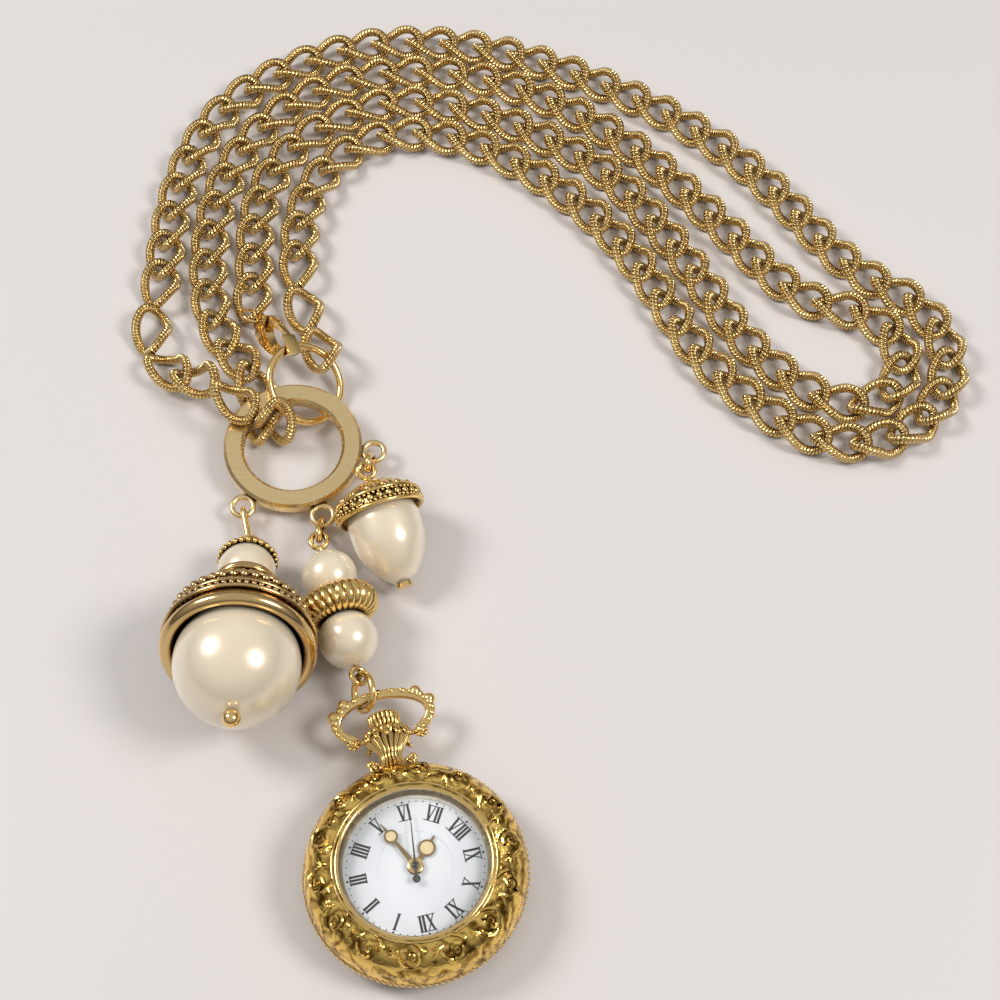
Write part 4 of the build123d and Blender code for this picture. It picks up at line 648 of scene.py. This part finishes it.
def fluted(piece, count, depth_share):
    """Presses flutes into a turned piece and closes its two ends."""
    for corner in piece.data.vertices:
        angle = atan2(corner.co.y, corner.co.x)
        press = 1 - depth_share * (1 - sqrt(abs(cos(angle * count / 2))))
        corner.co.x *= press
        corner.co.y *= press
    shape = bmesh.new()
    shape.from_mesh(piece.data)
    bmesh.ops.remove_doubles(shape, verts=shape.verts, dist=0.003 * mm)
    bmesh.ops.recalc_face_normals(shape, faces=shape.faces)
    shape.to_mesh(piece.data)
    shape.free()
    return piece


def cast_lump(place, sizes):
    """A rounded lump of metal with three half sizes in millimetres, at a place that turns it."""
    bpy.ops.object.select_all(action="DESELECT")
    bpy.ops.mesh.primitive_uv_sphere_add(segments=14, ring_count=9, radius=1)
    lump = bpy.context.object
    lump.data.transform(place @ Matrix.Diagonal((*(size * mm for size in sizes), 1)))
    return lump


neck_cup = fluted(turned_piece("neck_cup", neck_rings, 216), neck_flutes, flute_depth_share)
neck_parts = [neck_cup]
collar_leaves = 14
collar_place = Matrix.Translation((3.05 * mm, 0, 18.3 * mm))
collar_tip_place = Matrix.Translation((0.2 * mm, 0, -0.8 * mm))
collar_leaf, collar_tip = (0.32, 0.5, 0.95), (0.3, 0.26, 0.3)
foot_scrolls = ((2.25, 14.5, 0.62), (2.75, 15.15, 0.34))
foot_core = (0.35, 0.5, 0.35)
for number in range(collar_leaves):
    leaf_angle = 2 * pi * (number + 0.5) / collar_leaves
    if abs(cos(leaf_angle)) > 0.85:
        continue
    turn = Matrix.Rotation(leaf_angle, 4, "Z")
    droop = turn @ collar_place @ Matrix.Rotation(radians(-28), 4, "Y")
    neck_parts.append(cast_lump(droop, collar_leaf))
    neck_parts.append(cast_lump(droop @ collar_tip_place, collar_tip))
for hand in (-1, 1):
    for reach, height, bend in foot_scrolls:
        bpy.ops.mesh.primitive_torus_add(
            major_radius=bend * mm, minor_radius=0.26 * mm, major_segments=28, minor_segments=10)
        foot_scroll = bpy.context.object
        foot_scroll.data.transform(
            Matrix.Translation((hand * reach * mm, 0, height * mm)) @ Matrix.Rotation(radians(90), 4, "X")
        )
        neck_parts.append(foot_scroll)
    neck_parts.append(cast_lump(Matrix.Translation((hand * 2.25 * mm, 0, 14.5 * mm)), foot_core))
settle(joined("neck_cup", neck_parts), pendant_place, "watch", antique_gold, ("neck",))

# Crown: a ribbed brass button on the stem, wide at its top like an opened fan, to set the hands.
crown_rings = [
    (19.6, 0.001), (19.6, 1.75), (19.8, 1.95), (20.6, 2.12), (21.2, 2.2), (21.5, 2.1), (21.72, 1.7),
    (21.8, 1.0), (21.8, 0.001),
]
crown_ribs, crown_rib_depth_share = 20, 0.17
crown_button = fluted(turned_piece("crown_button", crown_rings, 240), crown_ribs, crown_rib_depth_share)
settle(crown_button, pendant_place, "crown", antique_gold, ("crown",))

# Bow: a cast oval loop with a polished inner band, leaves along its outside that are largest at
# the two shoulders, and a beaded ball at each end, where its pins turn in the neck.
bow_lean = radians(12)
bow_rise_dir = pendant_dir * cos(bow_lean) + up * sin(bow_lean)
bow_place = Matrix((side_dir, bow_rise_dir, side_dir.cross(bow_rise_dir))).transposed().to_4x4()
bow_place.translation = pendant_dir * (18.5 * mm) + up * pendant_height
bow_across, bow_above, bow_middle = 6.45 * mm, 3.4 * mm, 2.6 * mm
ball_reach, ball_beads, ball_bead_reach = 4.5 * mm, 8, 0.72 * mm
ball_bead, ball_crest = (0.26,) * 3, (0.3,) * 3
bow_leaves = []
leaf_directions = (-42, -28, -14, 0, 12, 24, 36, 48, 60, 74, 90)
leaf_sizes = (0.42, 0.48, 0.55, 0.68, 0.78, 0.85, 0.85, 0.72, 0.58, 0.5, 0.55)
for hand in (-1, 1):
    for direction, size in zip(leaf_directions, leaf_sizes):
        angle = radians(direction)
        reach = Vector((hand * bow_across * cos(angle), bow_middle + bow_above * sin(angle), 0))
        lean = radians(direction if hand > 0 else 180 - direction)
        for level in (-0.38, 0.38):
            leaf_place = (
                Matrix.Translation(reach + Vector((0, 0, level * mm)))
                @ Matrix.Rotation(lean, 4, "Z") @ Matrix.Rotation(radians(30), 4, "X")
            )
            bow_leaves.append(cast_lump(leaf_place, (size * 0.72, 0.62, 0.4)))
    ball = Vector((hand * ball_reach, 0, 0))
    for number in range(ball_beads):
        angle = 2 * pi * number / ball_beads
        spot = ball + Vector((ball_bead_reach * cos(angle), ball_bead_reach * sin(angle), 0.35 * mm))
        bow_leaves.append(cast_lump(Matrix.Translation(spot), ball_bead))
    bow_leaves.append(cast_lump(Matrix.Translation(ball + Vector((0, 0, 0.75 * mm))), ball_crest))
settle(joined("bow_leaves", bow_leaves), bow_place, "bow", antique_gold)
finish_node("bow", polished_gold)

# Case and bezel: cast brass, chased all over with scrolls and acanthus leaves. The bezel sits on
# the case middle, and its strokes stand a little above its top face.
stroke_lift = 0.11
bezel_rings = (
    (13.9, 5.9), (13.55, 6.75), (13.05, 7.45), (12.3, 8.15), (11.5, 8.7), (10.4, 8.5), (9.6, 8.3),
)


def bezel_height(reach):
    """The height of the bezel's top face at a distance from the centre, in millimetres."""
    for (far, low), (near, high) in zip(bezel_rings, bezel_rings[1:]):
        if reach >= near:
            share = (far - reach) / (far - near)
            return low + (high - low) * share
    return bezel_rings[-1][1]


chased_gold = bpy.data.materials.new("chased gold")
chased_gold.use_nodes = True
chased_nodes, chased_links = chased_gold.node_tree.nodes, chased_gold.node_tree.links
chased_shader = chased_nodes["Principled BSDF"]
chased_shader.inputs["Metallic"].default_value = 1.0
chased_shader.inputs["Roughness"].default_value = 0.17
chased_place = chased_nodes.new("ShaderNodeTexCoord")
chased_lines = chased_nodes.new("ShaderNodeTexWave")
chased_lines.wave_type = "RINGS"
chased_lines.inputs["Scale"].default_value = 210
chased_lines.inputs["Distortion"].default_value = 11
chased_lines.inputs["Detail"].default_value = 3.5
chased_lines.inputs["Detail Scale"].default_value = 1.6
chased_links.new(chased_place.outputs["Object"], chased_lines.inputs["Vector"])
chased_cells = chased_nodes.new("ShaderNodeTexVoronoi")
chased_cells.feature = "SMOOTH_F1"
chased_cells.inputs["Scale"].default_value = 800
chased_links.new(chased_place.outputs["Object"], chased_cells.inputs["Vector"])
chased_sum = chased_nodes.new("ShaderNodeMix")
chased_sum.inputs["Factor"].default_value = 0.45
chased_links.new(chased_lines.outputs["Fac"], chased_sum.inputs["A"])
chased_links.new(chased_cells.outputs["Distance"], chased_sum.inputs["B"])
chased_relief = chased_nodes.new("ShaderNodeBump")
chased_relief.inputs["Strength"].default_value = 0.5
chased_relief.inputs["Distance"].default_value = 0.12 * mm
chased_links.new(chased_sum.outputs["Result"], chased_relief.inputs["Height"])
chased_links.new(chased_relief.outputs["Normal"], chased_shader.inputs["Normal"])
# Painted shade: the colour is darkened further where other metal stands near. The low parts of the chased
# pattern are darker too.
chased_painted_shade = chased_nodes.new("ShaderNodeAmbientOcclusion")
chased_painted_shade.samples = 6
chased_painted_shade.inputs["Distance"].default_value = 0.5 * mm
chased_depth = chased_nodes.new("ShaderNodeMapRange")
chased_depth.inputs["From Min"].default_value = 0.1
chased_depth.inputs["From Max"].default_value = 0.62
chased_links.new(chased_sum.outputs["Result"], chased_depth.inputs["Value"])
chased_dark = chased_nodes.new("ShaderNodeMath")
chased_dark.operation = "MULTIPLY"
chased_links.new(chased_depth.outputs["Result"], chased_dark.inputs[0])
chased_links.new(chased_painted_shade.outputs["AO"], chased_dark.inputs[1])
chased_tone = chased_nodes.new("ShaderNodeMix")
chased_tone.data_type = "RGBA"
chased_tone.inputs["A"].default_value = (0.17, 0.08, 0.01, 1)
chased_tone.inputs["B"].default_value = (0.97, 0.66, 0.18, 1)
chased_links.new(chased_dark.outputs[0], chased_tone.inputs["Factor"])
chased_links.new(chased_tone.outputs["Result"], chased_shader.inputs["Base Color"])
for chased_node in ("bezel", "case_middle", "case_back"):
    finish_node(chased_node, chased_gold)


def chased_stroke(points, widths):
    """A raised stroke along points (reach, angle) on the bezel, as a curve with a round section."""
    curve = bpy.data.curves.new("stroke", "CURVE")
    curve.dimensions = "3D"
    curve.bevel_depth = 1.0
    curve.bevel_resolution = 2
    curve.resolution_u = 2
    run = curve.splines.new("POLY")
    run.points.add(len(points) - 1)
    for place, (reach, angle), width in zip(run.points, points, widths):
        height = (bezel_height(reach) + stroke_lift) * mm
        place.co = (reach * mm * cos(angle), reach * mm * sin(angle), height, 1)
        place.radius = width * mm
    stroke = bpy.data.objects.new("stroke", curve)
    bpy.context.scene.collection.objects.link(stroke)
    return stroke


def scroll(reach, angle, radius, hand, turns=1.6, steps=26):
    """A spiral that opens into a tail along the bezel, to the left or right hand."""
    points, widths = [], []
    for step in range(steps):
        share = step / (steps - 1)
        swing = hand * 2 * pi * turns * share - hand * pi / 2
        arm = radius * (0.12 + 0.88 * share)
        points.append((reach + arm * sin(swing), angle + arm * cos(swing) / reach))
        widths.append(0.15 + 0.17 * share)
    return chased_stroke(points, widths)


def leaf(reach, angle, length, heading, bend, width, steps=9):
    """A leaf of an acanthus: a stroke that is thick in the middle and curls at its end."""
    points, widths = [], []
    along, across = 0.0, 0.0
    for step in range(steps):
        share = step / (steps - 1)
        points.append((reach + across, angle + along / reach))
        widths.append(width * (0.25 + sin(pi * min(share * 1.1, 1)) * 0.85))
        along += length / steps * cos(heading + bend * share)
        across += length / steps * sin(heading + bend * share)
    return chased_stroke(points, widths)


strokes = []
motifs = 14
scroll_reach, scroll_r = 12.1, 1.0
paired_leaves, side_leaves = 5, 3
inner_leaf_length, outer_leaf_length, side_leaf_length = 2.1, 1.9, 2.2
inner_leaf_width, outer_leaf_width, side_leaf_width = 0.22, 0.21, 0.2
for motif in range(motifs):
    start = 2 * pi * motif / motifs
    hand = 1 if motif % 2 else -1
    strokes.append(scroll(scroll_reach, start, scroll_r, hand))
    for number in range(paired_leaves):
        strokes.append(leaf(
            10.35 + 0.1 * number, start + 0.035 * number, inner_leaf_length,
            0.25 + 0.32 * number, 1.1, inner_leaf_width,
        ))
        strokes.append(leaf(
            13.1 - 0.12 * number, start - 0.03 * number, outer_leaf_length,
            pi - 0.3 + 0.3 * number, 1.0, outer_leaf_width,
        ))
    for number in range(side_leaves):
        strokes.append(leaf(
            11.2 + 0.55 * number, start + 0.2, side_leaf_length,
            0.5 - 0.5 * number, hand * 1.3, side_leaf_width,
        ))
bpy.ops.object.select_all(action="DESELECT")
for stroke in strokes:
    stroke.select_set(True)
bpy.context.view_layer.objects.active = strokes[0]
bpy.ops.object.convert(target="MESH")
bpy.ops.object.join()
chasing = bpy.context.object
chasing.name = "bezel_chasing"
settle(chasing, watch_place, "watch", chased_gold)


# Rope edges and inner lip: two rings of slanted cords are cast with the case and the bezel, and a
# bright lip inside the bezel holds the crystal.
def rope(radius, height, wire, count, lean):
    """Cords in a level ring, with its sizes in millimetres and their lean in degrees."""
    cords = []
    for number in range(count):
        angle = 2 * pi * number / count
        bpy.ops.mesh.primitive_uv_sphere_add(segments=8, ring_count=6, radius=wire * mm)
        cord = bpy.context.object
        place = Matrix.Rotation(angle, 4, "Z") @ Matrix.Translation((radius * mm, 0, height * mm))
        slant = Matrix.Rotation(radians(lean), 4, "X")
        cord.data.transform(place @ slant @ Matrix.Diagonal((0.75, 0.6, 1.6, 1)))
        cords.append(cord)
    return cords


ropes = [(14.05, 3.6, 0.42, 110, 28), (13.75, 5.75, 0.3, 130, -28)]
lip_rings = [(9.75, 0.3, 8.1, 128), (10.25, 0.16, 8.42, 128)]
rope_edges = joined("rope_edges", [cord for run in ropes for cord in rope(*run)])
settle(rope_edges, watch_place, "watch", antique_gold)
inner_lip = joined("inner_lip", [wire_ring(*ring) for ring in lip_rings])
settle(inner_lip, watch_place, "watch", polished_gold)
lip_light, lip_dark = (0.92, 0.87, 0.74, 1), (0.7, 0.6, 0.4, 1)
finish_node("rehaut_ring", gold_finish("pale lip", lip_light, lip_dark, 0.35, 0.2 * mm))

# Dial: white enamel paint on a metal disc with a sunk centre, printed with black numerals whose
# tops point outwards and a ring of minute dots. Six stands at the crown.
def clouded(name, low, high, scale, roughness, metallic=0.0):
    """A plain finish whose colour drifts a little between two tones."""
    finish = bpy.data.materials.new(name)
    finish.use_nodes = True
    nodes, links = finish.node_tree.nodes, finish.node_tree.links
    shader = nodes["Principled BSDF"]
    shader.inputs["Roughness"].default_value = roughness
    shader.inputs["Metallic"].default_value = metallic
    place = nodes.new("ShaderNodeTexCoord")
    cloud = nodes.new("ShaderNodeTexNoise")
    cloud.inputs["Scale"].default_value = scale
    ramp = nodes.new("ShaderNodeValToRGB")
    ramp.color_ramp.elements[0].position = 0.3
    ramp.color_ramp.elements[0].color = (*low, 1)
    ramp.color_ramp.elements[1].position = 0.7
    ramp.color_ramp.elements[1].color = (*high, 1)
    links.new(place.outputs["Object"], cloud.inputs["Vector"])
    links.new(cloud.outputs["Fac"], ramp.inputs["Fac"])
    links.new(ramp.outputs["Color"], shader.inputs["Base Color"])
    return finish


finish_node("dial", clouded("white enamel", (0.78, 0.80, 0.84), (0.83, 0.85, 0.88), 150, 0.3))
printing_ink = clouded("black printing ink", (0.012, 0.012, 0.012), (0.03, 0.028, 0.025), 900, 0.5)
dial_top = 6.0 * mm
ink_height = 0.03 * mm
numeral_height = 2.15 * mm
numeral_reach = 7.25 * mm
thick_stroke, thin_stroke = 0.3 * mm, 0.14 * mm
serif = 0.11 * mm
serif_overhang = 0.2 * mm
letter_gap = 0.17 * mm
letter_width = {"I": 0.27 * mm, "V": 1.05 * mm, "X": 1.05 * mm}
numerals = ("VI", "VII", "VIII", "IX", "X", "XI", "XII", "I", "II", "III", "IIII", "V")


def ink_bar(x_low, x_high, width, low, high):
    """A flat slanted stroke from x_low at its foot to x_high at its top."""
    bpy.ops.mesh.primitive_cube_add(size=1)
    bar = bpy.context.object
    for corner in bar.data.vertices:
        middle = x_high if corner.co.y > 0 else x_low
        corner.co = (
            middle + corner.co.x * width, high if corner.co.y > 0 else low,
            dial_top + ink_height * (0.5 + corner.co.z),
        )
    return bar


ink = []
for hour, numeral in enumerate(numerals):
    width = sum(letter_width[letter] for letter in numeral) + letter_gap * (len(numeral) - 1)
    left = -width / 2
    low, high = numeral_reach - numeral_height / 2, numeral_reach + numeral_height / 2
    bars = []
    for letter in numeral:
        right = left + letter_width[letter]
        middle = (left + right) / 2
        if letter == "I":
            bars.append(ink_bar(middle, middle, thick_stroke, low, high))
        elif letter == "V":
            bars.append(ink_bar(middle, left + thick_stroke / 2, thick_stroke, low, high))
            bars.append(ink_bar(middle, right - thin_stroke / 2, thin_stroke, low, high))
        else:
            bars.append(ink_bar(right - thick_stroke / 2, left + thick_stroke / 2, thick_stroke, low, high))
            bars.append(ink_bar(left + thin_stroke / 2, right - thin_stroke / 2, thin_stroke, low, high))
        left = right + letter_gap
    for foot in (low, high - serif):
        bars.append(ink_bar(0, 0, width + serif_overhang, foot, foot + serif))
    for bar in bars:
        bar.data.transform(Matrix.Rotation(-2 * pi * hour / len(numerals), 4, "Z"))
    ink += bars
minutes, minutes_to_numeral = 60, 5
minute_dot, numeral_dot, dot_reach = 0.085 * mm, 0.15 * mm, 8.62 * mm
for minute in range(minutes):
    dot = minute_dot if minute % minutes_to_numeral else numeral_dot
    angle = 2 * pi * minute / minutes
    spot = (dot_reach * cos(angle), dot_reach * sin(angle), dial_top + ink_height / 2)
    bpy.ops.mesh.primitive_cylinder_add(vertices=10, radius=dot, depth=ink_height, location=spot)
    ink.append(bpy.context.object)
settle(joined("dial_printing", ink), watch_place, "watch", printing_ink)

# Hands: stamped gilt brass with a disc of cream luminous paint on the hour and minute hands. They
# are pressed on their arbors, the minute hand under a gilt hub and the seconds hand under a cap.
hand_gold = gold_finish("hand gold", (0.42, 0.29, 0.11, 1), (0.05, 0.03, 0.01, 1), 0.22, 0.3 * mm)
for hand_node in ("hour_hand", "minute_hand"):
    finish_node(hand_node, hand_gold)
lacquer_low, lacquer_high = (0.05, 0.045, 0.04), (0.09, 0.08, 0.07)
dark_lacquer = clouded("dark hand lacquer", lacquer_low, lacquer_high, 1500, 0.35, 0.5)
finish_node("seconds_hand", dark_lacquer)
cream_paint = clouded("cream luminous paint", (0.72, 0.55, 0.28), (0.80, 0.66, 0.38), 2500, 0.6)
paint_discs = (
    ("hour_hand_disc", "hour", 47.25, 2.76, 0.85, 6.28),
    ("minute_hand_disc", "centre", 117, 4.9, 0.66, 6.63),
)
for disc_name, body, angle, reach, radius, height in paint_discs:
    disc_rings = [(0.0, radius), (0.05, radius * 0.95), (0.08, radius * 0.5), (0.09, 0.001)]
    paint = turned_piece(disc_name, disc_rings, 32)
    at = Vector((reach * cos(radians(angle)), reach * sin(radians(angle)), height)) * mm
    settle(paint, watch_place @ Matrix.Translation(at), body, cream_paint)
hub_rings = [(6.5, 0.98), (6.66, 1.0), (6.73, 0.88), (6.75, 0.5), (6.75, 0.001)]
hub = turned_piece("minute_hub", hub_rings, 64)
settle(hub, watch_place, "centre", polished_gold)
cap_rings = [(6.8, 0.42), (6.98, 0.42), (7.06, 0.3), (7.08, 0.001)]
cap = turned_piece("seconds_cap", cap_rings, 40)
blued_steel = clouded("blued steel", (0.03, 0.03, 0.035), (0.06, 0.055, 0.05), 1500, 0.3, 0.8)
settle(cap, watch_place, "seconds", blued_steel)

# Crystal: a domed mineral glass, polished on both faces and pressed with its gasket into the
# bezel. It lets light straight through and mirrors more of it towards its rim.
clear_glass = bpy.data.materials.new("clear glass")
clear_glass.use_nodes = True
glass_nodes, glass_links = clear_glass.node_tree.nodes, clear_glass.node_tree.links
glass_shader = glass_nodes["Principled BSDF"]
glass_shader.inputs["Base Color"].default_value = (0.98, 0.99, 1.0, 1)
glass_shader.inputs["Roughness"].default_value = 0.03
glass_shader.inputs["IOR"].default_value = 1.5
glass_clear = glass_nodes.new("ShaderNodeBsdfTransparent")
glass_rim = glass_nodes.new("ShaderNodeFresnel")
glass_rim.inputs["IOR"].default_value = 1.35
glass_mix = glass_nodes.new("ShaderNodeMixShader")
glass_links.new(glass_rim.outputs["Fac"], glass_mix.inputs["Fac"])
glass_links.new(glass_clear.outputs["BSDF"], glass_mix.inputs[1])
glass_links.new(glass_shader.outputs["BSDF"], glass_mix.inputs[2])
glass_links.new(glass_mix.outputs["Shader"], glass_nodes["Material Output"].inputs["Surface"])
finish_node("crystal", clear_glass)

# Inside the case: an ordinary small quartz movement of brass plates and wheels in a plastic ring,
# with a steel stem, a copper coil, a green board, a silver cell and two black rubber seals.
seal_rubber = clouded("black rubber", (0.02, 0.02, 0.02), (0.045, 0.045, 0.045), 800, 0.7)
plate_brass = clouded("plate brass", (0.62, 0.46, 0.20), (0.74, 0.56, 0.27), 600, 0.3, 1.0)
wheel_brass = clouded("wheel brass", (0.70, 0.52, 0.22), (0.82, 0.63, 0.30), 900, 0.25, 1.0)
part_steel = clouded("part steel", (0.50, 0.50, 0.52), (0.64, 0.64, 0.66), 900, 0.25, 1.0)
moulded_plastic = clouded("moulded plastic", (0.75, 0.74, 0.70), (0.82, 0.81, 0.78), 300, 0.45)
board_green = clouded("board green", (0.02, 0.14, 0.05), (0.03, 0.20, 0.08), 500, 0.4)
coil_copper = clouded("coil copper", (0.60, 0.24, 0.10), (0.75, 0.34, 0.16), 3000, 0.35, 1.0)
cell_steel = clouded("cell steel", (0.66, 0.66, 0.67), (0.76, 0.76, 0.77), 400, 0.2, 1.0)
magnet_grey = clouded("magnet grey", (0.14, 0.14, 0.15), (0.22, 0.22, 0.23), 900, 0.4, 0.7)
inner_finishes = {
    seal_rubber: ("back_gasket", "crystal_gasket"),
    plate_brass: ("main_plate", "train_bridge"),
    wheel_brass: ("centre_wheel", "third_wheel", "seconds_wheel", "minute_wheel", "hour_wheel"),
    part_steel: ("stem", "setting_lever", "movement_screws", "battery_clamp", "stator", "quartz_can"),
    moulded_plastic: ("movement_ring", "step_wheel"),
    board_green: ("circuit_board",),
    coil_copper: ("coil",),
    cell_steel: ("battery",),
    magnet_grey: ("rotor",),
}
for inner_finish, inner_nodes in inner_finishes.items():
    for inner_node in inner_nodes:
        finish_node(inner_node, inner_finish)
